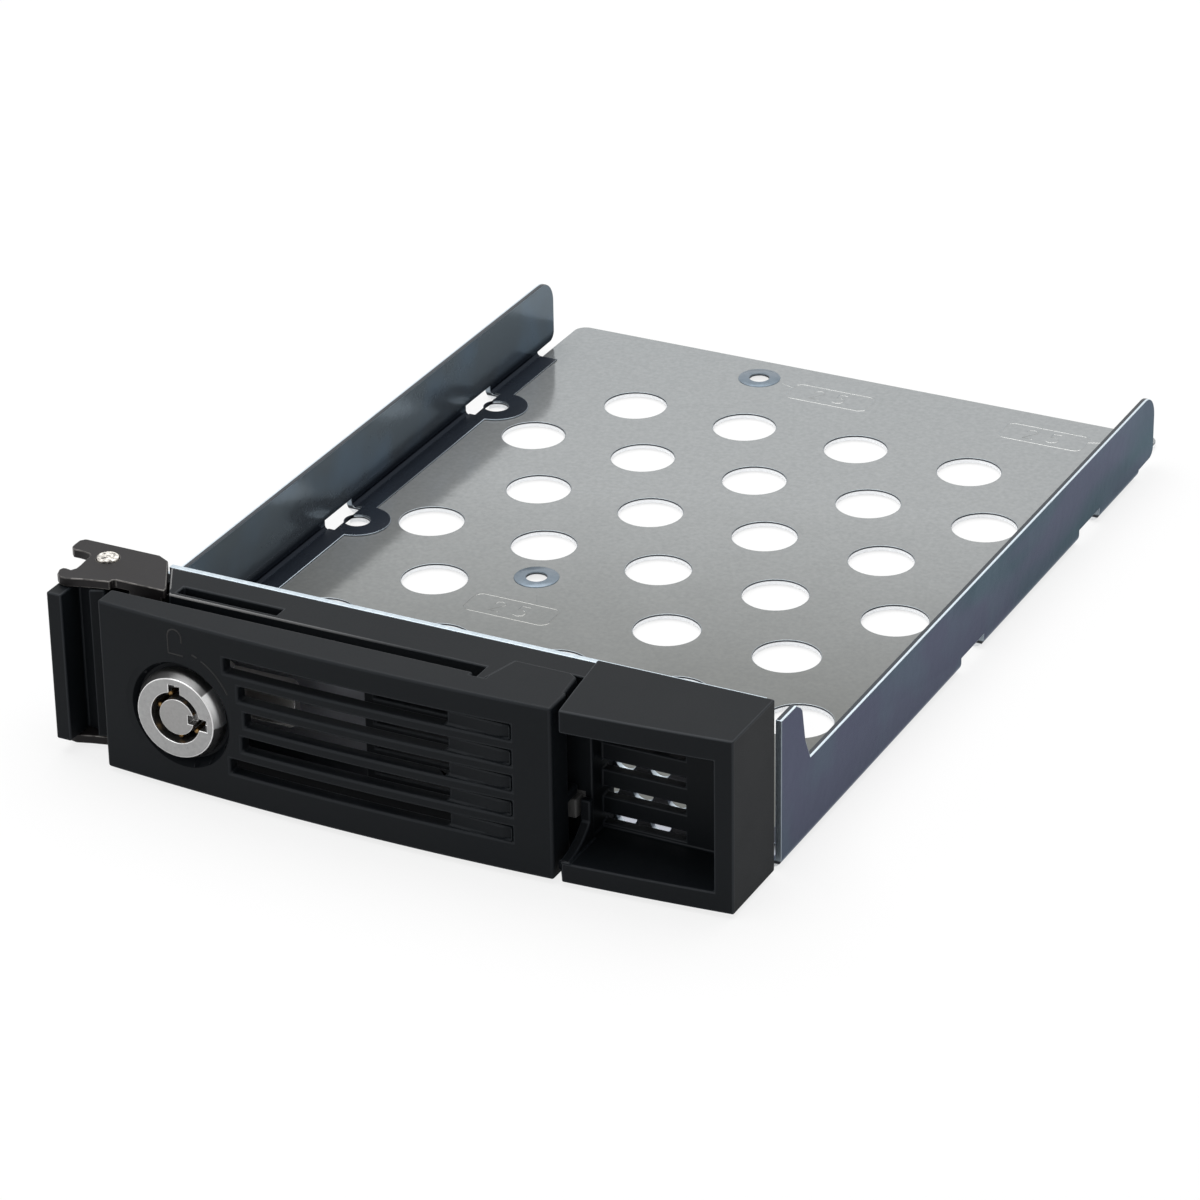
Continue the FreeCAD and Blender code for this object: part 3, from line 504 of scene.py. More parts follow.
def turned_shape(tree, profile, sides=40):
    """Stacked cones through (radius, height) pairs, closed at both ends."""
    rings = []
    for (r0, z0), (r1, z1) in zip(profile, profile[1:]):
        cone = tree.node("GeometryNodeMeshCone", {"fill_type": "NONE"}, {
            "Vertices": sides, "Radius Bottom": r0, "Radius Top": r1, "Depth": z1 - z0})
        rings.append(lifted(tree, cone, z0))
    for (radius, z), down in ((profile[0], True), (profile[-1], False)):
        cap = tree.node("GeometryNodeMeshCircle", {"fill_type": "NGON"},
                        {"Vertices": sides, "Radius": radius})
        if down:
            cap = tree.node("GeometryNodeFlipFaces", None, {"Mesh": cap})
        rings.append(lifted(tree, cap, z))
    whole = tree.node("GeometryNodeJoinGeometry", None, {"Geometry": rings})
    return tree.node("GeometryNodeMergeByDistance", None, {"Geometry": whole, "Distance": 1e-6})


def lifted(tree, shape, z):
    place = tree.node("ShaderNodeCombineXYZ", None, {"Z": z})
    return tree.node("GeometryNodeTransform", None, {"Geometry": shape, "Translation": place})


def repeated(tree, given, shape, turn=(0.0, 0.0, 0.0)):
    """The shape on every point, real and in its material."""
    placed = tree.node("GeometryNodeInstanceOnPoints", None, {
        "Points": given["Geometry"], "Instance": shape, "Rotation": turn})
    real = tree.node("GeometryNodeRealizeInstances", None, {"Geometry": placed})
    smooth = tree.node("GeometryNodeSetShadeSmooth", None, {"Geometry": real})
    done = tree.node("GeometryNodeSetMaterial", None,
                     {"Geometry": smooth, "Material": given["Material"]})
    tree.node("NodeGroupOutput", None, {0: done})


def grown(name, tree, places, sizes, material):
    """A plain mesh from a geometry tree that works on these places."""
    mesh = bpy.data.meshes.new(name)
    mesh.from_pydata([Vector(p) for p in places], [], [])
    made = add_object(name, mesh)
    modifier = made.modifiers.new("shape", "NODES")
    modifier.node_group = tree.tree
    for socket in tree.tree.interface.items_tree:
        if socket.in_out == "INPUT" and socket.name in sizes:
            modifier[socket.identifier] = sizes[socket.name]
        elif socket.in_out == "INPUT" and socket.name == "Material":
            modifier[socket.identifier] = material
    solid_mesh(made)
    made.data.set_sharp_from_angle(angle=SMOOTH_ANGLE)
    return made


def screw_tree():
    """Domed cross-recess screw: the head stands on z 0 and the thread hangs below."""
    tree, given = shape_tree("caddy_screw", {
        "Head Radius": 2.3 * MM, "Head Height": 1.5 * MM, "Thread Radius": 1.25 * MM,
        "Thread Length": 3.9 * MM, "Recess Size": 2.4 * MM})
    r, h, t, deep = (given[k] for k in
                     ("Head Radius", "Head Height", "Thread Radius", "Thread Length"))
    shape = turned_shape(tree, [
        (t * 0.7, deep * -1.0), (t * 0.86, deep * -0.9), (t * 0.86, r * 0.0), (r * 0.96, r * 0.0),
        (r, h * 0.1), (r, h * 0.42), (r * 0.95, h * 0.68), (r * 0.82, h * 0.88),
        (r * 0.6, h * 0.98), (r * 0.3, h)])
    bars = []
    for across, along in ((1.0, 0.24), (0.24, 1.0)):
        size = tree.node("ShaderNodeCombineXYZ", None, {
            "X": given["Recess Size"] * across, "Y": given["Recess Size"] * along, "Z": h * 1.2})
        bars.append(lifted(tree, tree.node("GeometryNodeMeshCube", None, {"Size": size}), h))
    cut = tree.node("GeometryNodeMeshBoolean", {"operation": "DIFFERENCE"},
                    {"Mesh 1": shape, "Mesh 2": bars})
    ridge = tree.node("GeometryNodeMeshCone", {"fill_type": "NONE"}, {
        "Vertices": 24, "Radius Bottom": t * 0.84, "Radius Top": t, "Depth": t * 0.2})
    under = tree.node("GeometryNodeMeshCone", {"fill_type": "NONE"}, {
        "Vertices": 24, "Radius Bottom": t, "Radius Top": t * 0.84, "Depth": t * 0.2})
    pair = tree.node("GeometryNodeJoinGeometry", None,
                     {"Geometry": [ridge, lifted(tree, under, t * 0.2)]})
    start = tree.node("ShaderNodeCombineXYZ", None, {"Z": deep * -0.88})
    step = tree.node("ShaderNodeCombineXYZ", None, {"Z": deep * 0.12})
    line = tree.node("GeometryNodeMeshLine", None,
                     {"Count": 7, "Start Location": start, "Offset": step})
    thread = tree.node("GeometryNodeInstanceOnPoints", None, {"Points": line, "Instance": pair})
    whole = tree.node("GeometryNodeJoinGeometry", None, {"Geometry": [cut, thread]})
    repeated(tree, given, whole, (-math.pi / 2, 0.0, 0.0))
    return tree


def pin_tree():
    """Round-ended pin that stands on z 0."""
    tree, given = shape_tree("key_pin", {"Radius": 0.42 * MM, "Length": 3.3 * MM})
    r, h = given["Radius"], given["Length"]
    shape = turned_shape(tree, [
        (r, r * 0.0), (r, h - r * 0.6), (r * 0.9, h - r * 0.3), (r * 0.66, h - r * 0.1),
        (r * 0.3, h)], sides=16)
    repeated(tree, given, shape, (math.pi / 2, 0.0, 0.0))
    return tree


def seat_tree():
    """Low pressed ring round a screw hole."""
    tree, given = shape_tree("pressed_seat", {
        "Outer Radius": 3.35 * MM, "Hole Radius": 1.6 * MM, "Rise": 0.4 * MM})
    outer, rise = given["Outer Radius"], given["Rise"]
    disc = turned_shape(tree, [(outer, rise * -0.3), (outer, rise * 0.1),
                               (outer - rise * 0.35, rise * 0.75),
                               (outer - rise * 0.8, rise)], sides=72)
    bore = tree.node("GeometryNodeMeshCylinder", None, {
        "Vertices": 48, "Radius": given["Hole Radius"], "Depth": rise * 6.0})
    ring = tree.node("GeometryNodeMeshBoolean", {"operation": "DIFFERENCE"},
                     {"Mesh 1": disc, "Mesh 2": [bore]})
    repeated(tree, given, ring)
    return tree


# ---- finishes ----

def zinc(look):
    """Zinc plated sheet with a fine ripple. The floor carries painted shade that darkens it
    towards the front and a painted pale reflection by the flange; the upright walls are bluer,
    darkened with painted shade and lit with painted highlight patches.
    """
    paint = Finish("zinc_sheet")
    x, y, z = paint.axes()
    fine = paint.noise(0.7, 2.0, 0.6)
    ripple = paint.noise(3.2, 3.0, 0.62, stretch=(0.4, 1.0, 1.0))
    cloud = paint.noise(24.0, 3.0, 0.6)
    sheen_patch = paint.noise(11.0, 2.0, 0.5)
    # painted shade: the floor darkens towards the front, as if mirroring the black frame
    floor_shade_fade = ((y - FLOOR_START) / FLOOR_LENGTH - x * 0.003 + (cloud - 0.5) * 0.25).clip()
    flat = paint.blend(floor_shade_fade, tuple(look.zinc_front_shaded) + (1.0,), tuple(look.zinc_rear_lit) + (1.0,))
    flat = paint.blend(fine.over(0.5, 0.5) * 0.22, flat, grey(0.1))
    # painted reflection: the floor by the flange and the flange made pale
    flat = paint.blend(y.over(PAINTED_SHEEN_EDGE, 1.6), (0.5, 0.51, 0.56, 1), flat)
    band = paint.noise(19.0, 2.0, 0.5, stretch=(1.0, 0.35, 1.3))
    # painted shade: the right wall darkened, in its own teal and purple tint
    right = paint.blend(band.over(0.5, 0.1), (0.002, 0.02, 0.028, 1), (0.036, 0.022, 0.055, 1))
    # painted highlight: lighter bluish patches on the walls
    right = paint.blend(sheen_patch.over(0.56, 0.14) * 0.5, right, (0.04, 0.055, 0.075, 1))
    # painted shade: the left wall darkens towards the bottom
    left = paint.blend((z / 12.0).clip() ** 2.0, (0.1, 0.115, 0.13, 1),
                       (0.13, 0.15, 0.165, 1))
    left = paint.blend(sheen_patch.over(0.58, 0.22) * 0.55, left, (0.13, 0.18, 0.24, 1))
    # painted shade: near black at the foot of the left wall
    left = paint.blend(z.over(WALL_FOOT, 1.0), (0.008, 0.009, 0.014, 1), left)
    wall = paint.blend(x.over(0.0, 1.0), left, right)
    # upright faces take the walls' darker colours, painted shade by orientation
    upright = abs(paint.facing()[0]).over(0.6, 0.3).most(abs(x).over(WALL_START, 0.2))
    color = paint.blend(upright, flat, wall)
    rough = look.zinc_gloss + 0.1 * cloud * upright + 0.05 * fine
    even = paint.bump(ripple, 0.06, 0.5)
    return paint.close(color, rough, metallic=0.62, normal=paint.bump(fine, 0.006, 0.3, even),
                       specular=0.3, tint=(0.6, 0.74, 0.86, 1))


def land_painted_reflection():
    """The raised lands beside the walls, with the dark walls' reflection painted on their tops and
    a painted highlight on their sloped rims.
    """
    paint = Finish("zinc_land")
    cloud = paint.noise(12.0, 3.0, 0.6)
    # painted reflection: tops dark as if mirroring the walls
    color = paint.blend(cloud, (0.013, 0.017, 0.026, 1), (0.032, 0.038, 0.052, 1))
    # painted highlight: faces that do not point up are pale
    color = paint.blend(paint.facing()[2].over(0.93, 0.08), (0.2, 0.23, 0.26, 1), color)
    return paint.close(color, 0.22 + 0.1 * cloud, metallic=0.7,
                       normal=paint.bump(paint.noise(2.0, 3.0, 0.6), 0.02, 0.4))


def blue_seat():
    """Flat bluish rings pressed round the small drive's screw holes."""
    paint = Finish("zinc_seat")
    cloud = paint.noise(1.1, 2.0, 0.6)
    color = paint.blend(cloud, (0.11, 0.15, 0.19, 1), (0.2, 0.24, 0.28, 1))
    return paint.close(color, 0.25 + 0.1 * cloud, metallic=0.6,
                       normal=paint.bump(cloud, 0.01, 0.3))


def cut_metal():
    """Cut edge of the sheet: a pale blue painted highlight on the top edges, dark on the walls'
    rolled tops, and in the floor's holes a pale painted highlight under a dark line.
    """
    paint = Finish("cut_edge")
    x, y, z = paint.axes()
    up = paint.facing()[2].over(0.3, 0.5)
    drawn = paint.noise(0.5, 2.0, 0.5, stretch=(1.0, 0.2, 3.0))
    # painted highlight: the hole walls nearly white, under a dark band at their top
    bore = paint.blend(drawn, (0.86, 0.88, 0.9, 1), (0.93, 0.94, 0.95, 1))
    bore = paint.blend(z.over(HOLE_LINE, 0.08), bore, (0.03, 0.034, 0.04, 1))
    side = paint.blend(drawn, (0.2, 0.24, 0.28, 1), (0.34, 0.39, 0.43, 1))
    side = paint.blend(z.over(FLOOR_TOP, 0.2), bore, side)
    rolled = abs(x).over(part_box("tray")[1].x / MM - 0.3, 0.08)
    # painted highlight: top edges pale blue; the walls' rolled tops dark
    top = paint.blend(rolled, (0.03, 0.036, 0.045, 1), (0.62, 0.7, 0.76, 1))
    # painted highlight: the flange's top edge pale
    flange = paint.blend(drawn, (0.42, 0.49, 0.55, 1), (0.6, 0.67, 0.72, 1))
    top = paint.blend(y.over(FLANGE_TOP, 0.2), flange, top)
    rim = paint.blend(drawn, (0.2, 0.22, 0.24, 1), (0.34, 0.37, 0.39, 1))
    top = paint.blend(z.over(FLOOR_TOP, 0.3), rim, top)
    return paint.close(paint.blend(up, side, top), 0.28 + 0.15 * drawn, metallic=0.7,
                       normal=paint.bump(drawn, 0.01, 0.3))


def black_plastic(look, name, edge_highlight=0.0, pale_block_rim_highlight=False):
    """Moulded black plastic with a fine even grain; edge copies are lightened as a painted
    highlight, and if asked the catch block is paler and the strip's rim gets a painted highlight.
    """
    paint = Finish(name)
    grain = paint.noise(0.22, 2.0, 0.6)
    cloud = paint.noise(14.0, 3.0, 0.6)
    # painted highlight: the edge copies are lightened and made shinier
    base = tuple(c * (1 + edge_highlight) for c in look.plastic) + (1.0,)
    pale = tuple(c * (1.3 + 1.2 * edge_highlight) for c in look.plastic) + (1.0,)
    color = paint.blend(cloud.over(0.55, 0.5) * 0.5, base, pale)
    if pale_block_rim_highlight:
        x, y, z = paint.axes()
        block = x.between(*CATCH_X, 0.1) * z.between(*CATCH_Z, 0.1)
        block = block * (1.0 - y.over(CATCH_FRONT, 0.1))
        color = paint.blend(block, color, grey(0.09))
        # painted highlight: the strip's front and left rim made pale, fading to the right
        rim = (1.0 - y.over(RIM_FRONT, 0.1)).most(1.0 - x.over(RIM_LEFT, 0.1))
        rim = rim * z.between(*RIM_Z, 0.1) * (0.8 - (x - RIM_START) / RIM_LENGTH).clip()
        color = paint.blend(rim * edge_highlight, color, grey(0.24))
    rough = look.plastic_gloss + 0.12 * cloud + 0.08 * grain
    return paint.close(color, rough, normal=paint.bump(grain, 0.018, 0.4),
                       specular=look.plastic_shine * (1 + edge_highlight))


def mark_black():
    """Glossier black of the moulded marks."""
    paint = Finish("mark_black")
    grain = paint.noise(0.3, 2.0, 0.5)
    return paint.close(paint.blend(grain, grey(0.002), grey(0.005)), 0.3 + 0.1 * grain,
                       specular=0.3)


def bright_steel(name, level, rough, warm, grain_mm):
    """Turned or plated steel."""
    paint = Finish(name)
    grain = paint.noise(grain_mm, 3.0, 0.6)
    color = paint.blend(grain, grey(level * 0.82, warm), grey(min(level * 1.1, 0.95), warm))
    return paint.close(color, rough + 0.14 * grain, metallic=0.95,
                       normal=paint.bump(grain, 0.01, 0.35))


def satin_nickel():
    """Turned lock head: satin front, and a cone darkened with painted shade, with a painted
    highlight on one flank.
    """
    paint = Finish("lock_satin_nickel")
    x, _, z = paint.axes()
    x, z = x - LOCK.x / MM, z - LOCK.z / MM
    grain = paint.noise(0.6, 3.0, 0.6)
    cone = ((x ** 2.0 + z ** 2.0) ** 0.5).over(LOCK_FLAT, 0.04)
    # painted highlight: a bright sector on the cone; the rest of the cone darkened as painted
    # shade
    flank_highlight = z.math("ARCTAN2", z, x).between(math.radians(-4), math.radians(44), 0.03)
    front = paint.blend(grain, grey(0.25), grey(0.38))
    side = paint.blend(flank_highlight, grey(0.17), grey(0.95))
    color = paint.blend(cone, front, side)
    return paint.close(color, 0.24 + 0.12 * grain, metallic=0.95,
                       normal=paint.bump(grain * (1.0 - cone), 0.01, 0.25))


def hammered_steel():
    """Rough rivet end of the hinge pin."""
    paint = Finish("hinge_pin_steel")
    dents = paint.noise(0.75, 4.0, 0.65)
    color = paint.blend(dents.over(0.48, 0.16), (0.08, 0.075, 0.07, 1), (0.78, 0.75, 0.7, 1))
    return paint.close(color, 0.3 + 0.2 * dents, metallic=0.9,
                       normal=paint.bump(dents, 0.12, 0.8))


def painted_black():
    """Thin black paint on the folded jaws."""
    paint = Finish("jaw_paint")
    cloud = paint.noise(5.0, 3.0, 0.6)
    grain = paint.noise(0.3, 2.0, 0.5)
    color = paint.blend(cloud, (0.0036, 0.003, 0.0034, 1), (0.009, 0.0075, 0.008, 1))
    return paint.close(color, 0.4 + 0.2 * cloud, normal=paint.bump(grain, 0.012, 0.35),
                       specular=0.22)


def worn_paint():
    """Edge where the paint has thinned."""
    paint = Finish("jaw_edge")
    wear = paint.noise(1.2, 3.0, 0.6).over(0.47, 0.16)
    color = paint.blend(wear, (0.022, 0.02, 0.019, 1), (0.11, 0.105, 0.1, 1))
    return paint.close(color, 0.42 - 0.08 * wear, metallic=wear * 0.7, specular=0.3)


# ---- settings ----

class CaddyLook(bpy.types.PropertyGroup):
    """Sizes and colours of the finishes."""

    sheet_edge: FloatProperty(name="Sheet edge", description="Broken edge of the folded sheet",
                              default=0.1 * MM, unit="LENGTH")
    moulded_edge: FloatProperty(name="Moulded edge", description="Rounding of the mouldings",
                                default=0.38 * MM, unit="LENGTH")
    frame_edge: FloatProperty(name="Frame edge", description="Rounding of the front frame",
                              default=0.25 * MM, unit="LENGTH")
    # painted shade: the front zinc colour is darker and the rear one lighter
    zinc_front_shaded: FloatVectorProperty(name="Zinc, front", description="Colour of the sheet in front",
                                    default=(0.165, 0.16, 0.14), subtype="COLOR")
    zinc_rear_lit: FloatVectorProperty(name="Zinc, rear", description="Colour of the sheet behind",
                                   default=(0.41, 0.41, 0.4), subtype="COLOR")
    zinc_gloss: FloatProperty(name="Zinc roughness", description="Roughness of the plated sheet",
                              default=0.1, subtype="FACTOR", min=0, max=1)
    plastic: FloatVectorProperty(name="Plastic", description="Colour of the mouldings",
                                 default=(0.0034, 0.0046, 0.006), subtype="COLOR")
    plastic_gloss: FloatProperty(name="Plastic roughness",
                                 description="Roughness of the mouldings",
                                 default=0.46, subtype="FACTOR", min=0, max=1)
    plastic_shine: FloatProperty(name="Plastic shine", description="Mirror share of the mouldings",
                                 default=0.125, subtype="FACTOR", min=0, max=1)


class CaddyStage(bpy.types.PropertyGroup):
    """Floor, lamps and camera."""

    lens: FloatProperty(name="Lens", description="Focal length in millimetres", default=145.35)
    floor: FloatVectorProperty(name="Floor", description="Colour of the floor",
                               default=(0.8, 0.8, 0.8), subtype="COLOR")
    key: FloatProperty(name="Key", description="Overhead lamp", default=8.0, unit="POWER")
    fill: FloatProperty(name="Fill", description="Front lamp", default=1.4, unit="POWER")
    left: FloatProperty(name="Left", description="Left lamp", default=0.6, unit="POWER")
    side: FloatProperty(name="Side", description="Right lamp", default=0.12, unit="POWER")


# ---- operators ----

class CADDY_OT_tray(bpy.types.Operator):
    """Dress the folded tray and press its screw seats, lands and stamps"""
    bl_idname = "caddy.tray"
    bl_label = "Tray"

    def execute(self, context):
        look = context.scene.caddy_look
        metal, edge = zinc(look), cut_metal()
        dressed("folded_tray", "tray", look.sheet_edge / MM, metal, edge, cut=SHEET)
        small, large = hole_places("drive_25_holes"), hole_places("drive_35_holes")
        ring = grown("drive_screw_seats", seat_tree(), [(x, y, SHEET) for x, y, _ in small],
                     {"Outer Radius": SEAT_OUTER * MM, "Hole Radius": SEAT_HOLE * MM,
                      "Rise": SEAT_RISE * MM}, blue_seat())
        on_tray(ring)
        land = land_painted_reflection()
        for name, side in ("left_land", -1), ("right_land", 1):
            strip = plate(name, land_outlines(side, large), LAND_RISE, LAND_ROUND, land)
            strip.data.transform(Matrix.Translation((0, 0, SHEET + LAND_RISE * MM / 2)))
            on_tray(strip)
        on_tray(cords("stamped_marks", stamp_paths(small), STAMP_HALF, metal))
        return {"FINISHED"}


def on_tray(piece):
    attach(piece, "chassis")


def land_outlines(side, holes):
    """The raised land along a wall, with its bosses, and the screw holes in it."""
    places = sorted((y / MM, abs(x) / MM) for x, y, _ in holes if x * side > 0)
    outline = [(LAND_INNER, LAND_FRONT)]
    for y, x in places:
        reach = math.degrees(math.acos((LAND_INNER - x) / LAND_BOSS))
        outline += arc((x, y), LAND_BOSS, 360 - reach, reach, 24)
    outline += [(LAND_INNER, LAND_BACK), (LAND_OUTER, LAND_BACK)]
    for y, x in reversed(places):
        outline += [(LAND_OUTER, y + NOTCH_HALF), (LAND_NOTCH, y + NOTCH_HALF),
                    (LAND_NOTCH, y - NOTCH_HALF), (LAND_OUTER, y - NOTCH_HALF)]
    outline.append((LAND_OUTER, LAND_FRONT))
    rings = [outline] + [arc((x, y), LAND_HOLE, 0, 350, 35) for y, x in places]
    return [[(side * x, y) for x, y in ring] for ring in rings]


def stamp_paths(holes):
    """A stamped frame with a plain number beside three of the small drive's screw holes."""
    glyphs = {"2": [(0, 2.2), (0.2, 2.8), (0.8, 3.1), (1.5, 2.8), (1.6, 2.1), (0, 0), (1.7, 0)],
              "5": [(1.6, 3.1), (0.2, 3.1), (0.1, 1.8), (1.0, 2.0), (1.6, 1.4), (1.5, 0.4),
                    (0.8, 0), (0, 0.3)]}
    wide, tall, round_r = 13.6, 5.4, 1.2
    box = []
    for x, y, turn in ((wide - round_r, tall - round_r, 0), (round_r, tall - round_r, 90),
                       (round_r, round_r, 180), (wide - round_r, round_r, 270)):
        box += arc((x, y), round_r, turn, turn + 90, 5)
    shapes = [box + box[:1]]
    for left, glyph in ((3.8, "2"), (7.6, "5")):
        shapes.append([(left + x, 1.15 + y) for x, y in glyphs[glyph]])
    front_left, rear_left, rear_right = (min(holes, key=lambda p: i * p[0] + j * p[1])
                                         for i, j in ((1, 1), (1, -1), (-1, -1)))
    paths = []
    for hole, dx, dy, pointer in ((front_left, -5.4, -13.2, [(9.5, 5.4), (8.0, 8.5)]),
                                  (rear_left, 6.4, -4.6, [(0, 3.6), (-2.2, 4.4)]),
                                  (rear_right, -19.6, -3.8, [(13.6, 3.6), (15.6, 4.4)])):
        for shape in shapes + [pointer]:
            paths.append([(hole[0] + (x + dx) * MM, hole[1] + (y + dy) * MM,
                           SHEET - STAMP_SUNK * MM)
                          for x, y in shape])
    return paths


class CADDY_OT_front_frame(bpy.types.Operator):
    """Dress the moulded front frame"""
    bl_idname = "caddy.front_frame"
    bl_label = "Front frame"

    def execute(self, context):
        look = context.scene.caddy_look
        main = black_plastic(look, "frame_plastic_black", pale_block_rim_highlight=True)
        # the edge copy carries a painted highlight
        edge = black_plastic(look, "frame_plastic_edge", edge_highlight=1.0, pale_block_rim_highlight=True)
        dressed("moulded_front", "front_frame", look.frame_edge / MM, main, edge, 3, bowed=True)
        return {"FINISHED"}


class CADDY_OT_handle(bpy.types.Operator):
    """Dress the swinging handle"""
    bl_idname = "caddy.handle"
    bl_label = "Handle"

    def execute(self, context):
        look = context.scene.caddy_look
        main = black_plastic(look, "handle_plastic_black")
        # the edge copy carries a painted highlight
        edge = black_plastic(look, "handle_plastic_edge", edge_highlight=0.45)
        dressed("swing_handle", "handle", look.moulded_edge / MM, main, edge, 3, bowed=True)
        marks = cords("moulded_marks", mark_paths(), MARK_HALF, mark_black())
        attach(marks, BODY_OF["handle"])
        return {"FINISHED"}


def mark_paths():
    """An open padlock above the lock and a turning mark round it."""
    drawn = [arc((-0.1, 11.7), 1.1, 180, 0, 12) + [(1.0, 11.0)],
             [(-1.2, 11.7), (-1.2, 9.1), (1.2, 9.1)],
             arc((-0.5, 0.7), 9.5, 27, 62, 16), arc((-0.5, 0.7), 9.5, 66, 71, 3)]
    return [[(LOCK.x + x * MM, bow_at(LOCK.x + x * MM) + MARK_SUNK * MM, LOCK.z + z * MM)
             for x, z in path] for path in drawn]


class CADDY_OT_jaws(bpy.types.Operator):
    """Dress the folded jaw bracket"""
    bl_idname = "caddy.jaws"
    bl_label = "Jaws"

    def execute(self, context):
        dressed("folded_jaws", "jaw_bracket", JAW_EDGE, painted_black(), worn_paint())
        return {"FINISHED"}


class CADDY_OT_hinge_pin(bpy.types.Operator):
    """Dress the hinge pin with its rough rounded ends"""
    bl_idname = "caddy.hinge_pin"
    bl_label = "Hinge pin"

    def execute(self, context):
        steel = hammered_steel()
        dressed("hinge_rod", "hinge_pin", PIN_EDGE, steel, steel, 3)
        return {"FINISHED"}


class CADDY_OT_lock(bpy.types.Operator):
    """Dress the cam lock"""
    bl_idname = "caddy.lock"
    bl_label = "Cam lock"

    def execute(self, context):
        satin = satin_nickel()
        bright = bright_steel("lock_bright_edge", 0.7, 0.16, 0.0, 0.6)
        core = bright_steel("lock_core_steel", 0.3, 0.28, 0.01, 0.4)
        plated = bright_steel("cam_plated_steel", 0.4, 0.3, 0.02, 0.8)
        for name, node, width, main, edge in (
                ("lock_case", "lock_body", 0.1, satin, bright),
                ("lock_middle", "lock_plug", 0.08, core, bright),
                ("lock_ring", "lock_washer", 0.06, plated, bright),
                ("lock_hexagon", "lock_nut", 0.15, plated, bright),
                ("turning_cam", "lock_cam", 0.12, plated, bright),
                ("cam_ring", "cam_washer", 0.06, plated, bright)):
            dressed(name, node, width, main, edge)
        return {"FINISHED"}


class CADDY_OT_key_pins(bpy.types.Operator):
    """Grow the seven brass pins in the key slot"""
    bl_idname = "caddy.key_pins"
    bl_label = "Key pins"

    def execute(self, context):
        low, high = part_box("key_pins")
        brass = Finish("key_brass_turned")
        grain = brass.noise(0.3, 2.0, 0.5)
        # painted shade: the brass darkened, deep in the key slot
        color = brass.blend(grain, (0.16, 0.095, 0.035, 1), (0.3, 0.19, 0.08, 1))
        metal = brass.close(color, 0.26 + 0.15 * grain, metallic=1.0)
        reach = KEY_PIN_REACH * MM
        places = []
        for step in range(KEY_PINS):
            angle = math.radians(KEY_PIN_FIRST) + step * math.tau / KEY_PINS
            places.append((LOCK.x + reach * math.cos(angle), high.y,
                           LOCK.z + reach * math.sin(angle)))
        pins = grown("brass_pins", pin_tree(), places,
                     {"Radius": KEY_PIN_RADIUS * MM, "Length": high.y - low.y}, metal)
        fitted(pins, "key_pins")
        return {"FINISHED"}


class CADDY_OT_screws(bpy.types.Operator):
    """Grow the screws of the frame, the jaws and the cam"""
    bl_idname = "caddy.screws"
    bl_label = "Screws"

    def execute(self, context):
        steel = bright_steel("screw_zinc", 0.6, 0.28, 0.02, 0.5)
        tree = screw_tree()
        for name, node, (head_r, head, thread, length) in SCREWS:
            made = grown(name, tree, screw_seats(node, head), {
                "Head Radius": head_r * MM, "Head Height": head * MM,
                "Thread Radius": thread * MM, "Thread Length": length * MM,
                "Recess Size": head_r * 1.1 * MM}, steel)
            fitted(made, node)
        return {"FINISHED"}


def screw_seats(node, head):
    """Seat of every loose screw in a node: its axis, and the face under its head."""
    shape = bmesh.new()
    shape.from_mesh(NODES[node].data)
    bmesh.ops.remove_doubles(shape, verts=shape.verts, dist=SEAM)
    left, seats = set(shape.verts), []
    while left:
        group, edge = set(), [left.pop()]
        while edge:
            vert = edge.pop()
            group.add(vert)
            for link in vert.link_edges:
                other = link.other_vert(vert)
                if other in left:
                    left.discard(other)
                    edge.append(other)
        low = [min(v.co[k] for v in group) for k in range(3)]
        high = [max(v.co[k] for v in group) for k in range(3)]
        seats.append(((low[0] + high[0]) / 2, high[1] - head * MM, (low[2] + high[2]) / 2))
    shape.free()
    return sorted(seats)


class CADDY_OT_stage(bpy.types.Operator):
    """Set the floor, the soft lamps and the camera"""
    bl_idname = "caddy.stage"
    bl_label = "Stage"

    def execute(self, context):
        stage = context.scene.caddy_stage
        floor_and_sky(stage)
        centre = (CAD_BOX[0] + CAD_BOX[1]) / 2
        for name, place, size, power in LAMPS:
            lamp(name, centre + Vector(place), centre, size, getattr(stage, power))
        aim_camera(stage)
        return {"FINISHED"}


def lamp(name, place, target, size, power):
    data = bpy.data.lights.new(name, "AREA")
    data.shape, data.size, data.energy = "SQUARE", size, power
    made = bpy.data.objects.new(name, data)
    made.location = place
    made.rotation_euler = (target - place).to_track_quat("-Z", "Y").to_euler()
    bpy.context.scene.collection.objects.link(made)


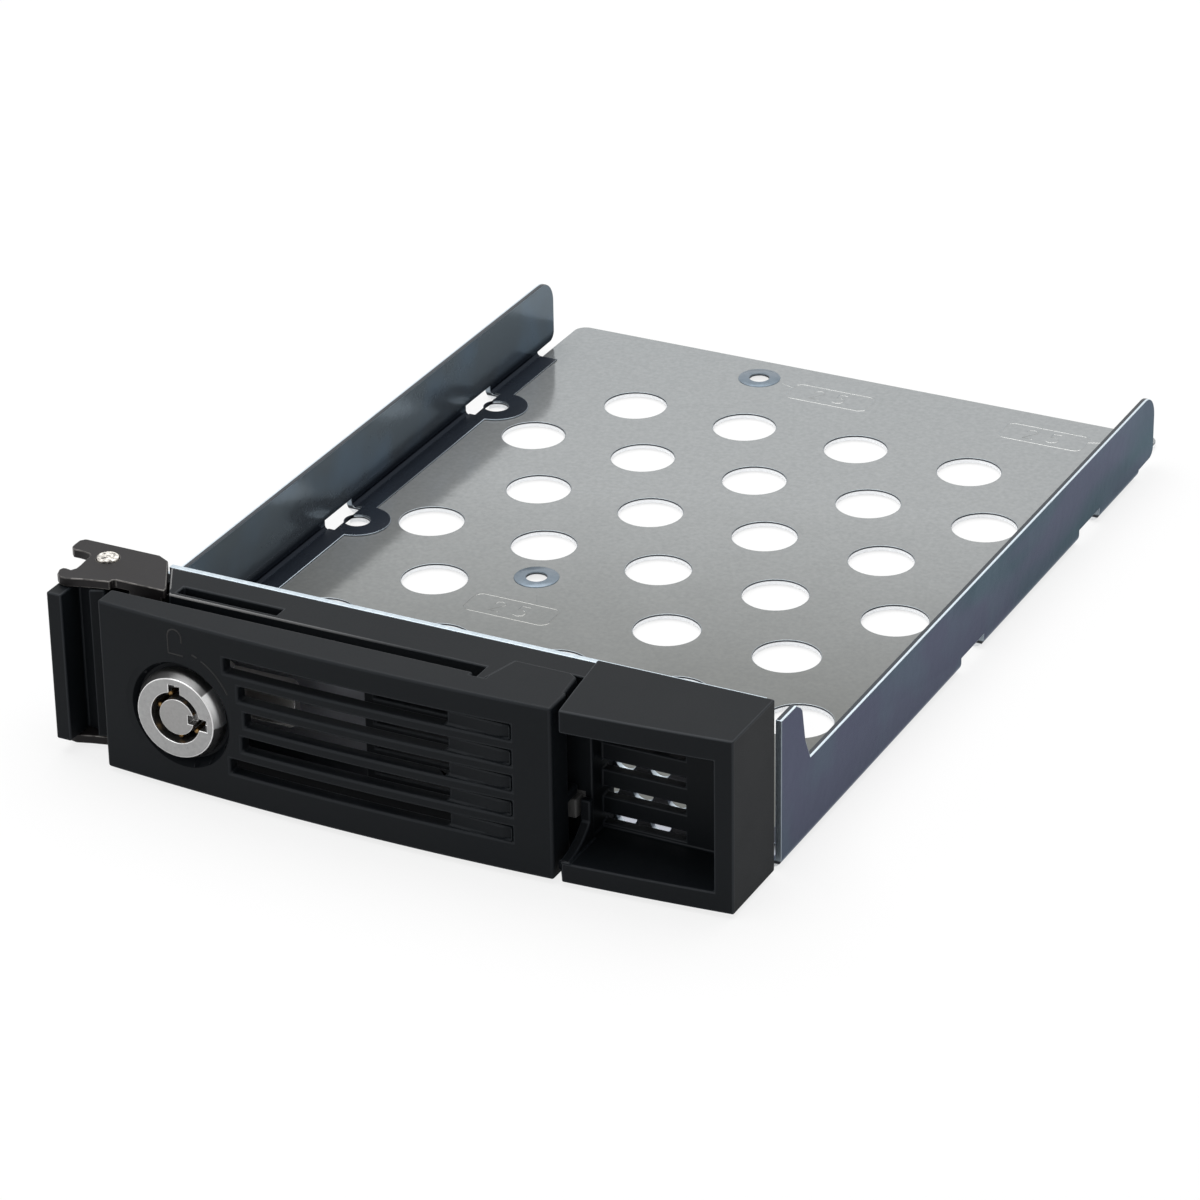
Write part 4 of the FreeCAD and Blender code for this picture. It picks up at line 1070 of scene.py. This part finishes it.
def floor_and_sky(stage):
    low, high = CAD_BOX
    centre, z = (low + high) / 2, low.z - 0.2 * MM
    mesh = bpy.data.meshes.new("floor")
    mesh.from_pydata([(centre.x + i * FLOOR_REACH, centre.y + j * FLOOR_REACH, z)
                      for i, j in ((-1, -1), (1, -1), (1, 1), (-1, 1))], [], [(0, 1, 2, 3)])
    floor = add_object("floor", mesh)
    paint = Finish("pale_floor")
    seen = paint.node("ShaderNodeLightPath", output="Is Camera Ray")
    mirrored = paint.node("ShaderNodeLightPath", output="Is Glossy Ray")
    through = paint.node("ShaderNodeLightPath", output="Is Transmission Ray")
    lit = paint.node("ShaderNodeBsdfDiffuse", None, {"Color": tuple(stage.floor) + (1.0,)})
    glow = paint.node("ShaderNodeEmission", None, {"Color": (1, 1, 1, 1), "Strength": 1.0})
    share = seen * 0.8 + mirrored * 0.4 + through * 0.8
    both = paint.node("ShaderNodeMixShader", None, {0: share, 1: lit, 2: glow})
    paint.node("ShaderNodeOutputMaterial", None, {"Surface": both})
    mesh.materials.append(paint.material)
    world = bpy.data.worlds.new("studio")
    bpy.context.scene.world = world
    world.use_nodes = True
    world.node_tree.nodes.clear()
    sky = Tree(world.node_tree)
    seen = sky.node("ShaderNodeLightPath", output="Is Camera Ray")
    mirrored = sky.node("ShaderNodeLightPath", output="Is Glossy Ray")
    strength = 0.35 + seen.most(mirrored) * 0.65
    back = sky.node("ShaderNodeBackground", None, {"Color": (1, 1, 1, 1), "Strength": strength})
    sky.node("ShaderNodeOutputWorld", None, {"Surface": back})


def aim_camera(stage):
    bpy.context.scene.view_settings.view_transform = "Standard"
    data = bpy.data.cameras.new("camera")
    data.lens, data.sensor_width = stage.lens, 36.0
    data.clip_start, data.clip_end = 0.01, 20.0
    camera = bpy.data.objects.new("camera", data)
    turn = Euler([math.radians(angle) for angle in CAMERA_TURN]).to_matrix()
    camera.matrix_world = Matrix.Translation(Vector(CAMERA_PLACE) * MM) @ turn.to_4x4()
    bpy.context.scene.collection.objects.link(camera)
    bpy.context.scene.camera = camera


class CADDY_PT_panel(bpy.types.Panel):
    """Lists the pieces of the caddy"""
    bl_idname = "CADDY_PT_panel"
    bl_label = "Drive Caddy"
    bl_space_type = "VIEW_3D"
    bl_region_type = "UI"
    bl_category = "Drive Caddy"

    def draw(self, context):
        for group in (context.scene.caddy_look, context.scene.caddy_stage):
            for name in group.bl_rna.properties.keys():
                if name not in ("rna_type", "name"):
                    self.layout.prop(group, name)
        for step in STEPS:
            self.layout.operator(step.bl_idname)


STEPS = (CADDY_OT_tray, CADDY_OT_front_frame, CADDY_OT_handle, CADDY_OT_jaws,
         CADDY_OT_hinge_pin, CADDY_OT_lock, CADDY_OT_key_pins, CADDY_OT_screws,
         CADDY_OT_stage)
CLASSES = (CaddyLook, CaddyStage) + STEPS + (CADDY_PT_panel,)


def register():
    for one in CLASSES:
        bpy.utils.register_class(one)
    bpy.types.Scene.caddy_look = PointerProperty(type=CaddyLook)
    bpy.types.Scene.caddy_stage = PointerProperty(type=CaddyStage)


def unregister():
    del bpy.types.Scene.caddy_stage
    del bpy.types.Scene.caddy_look
    for one in reversed(CLASSES):
        bpy.utils.unregister_class(one)


def main():
    register()
    for step in STEPS:
        group, name = step.bl_idname.split(".")
        getattr(getattr(bpy.ops, group), name)()
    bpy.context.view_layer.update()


if __name__ == "__main__":
    main()
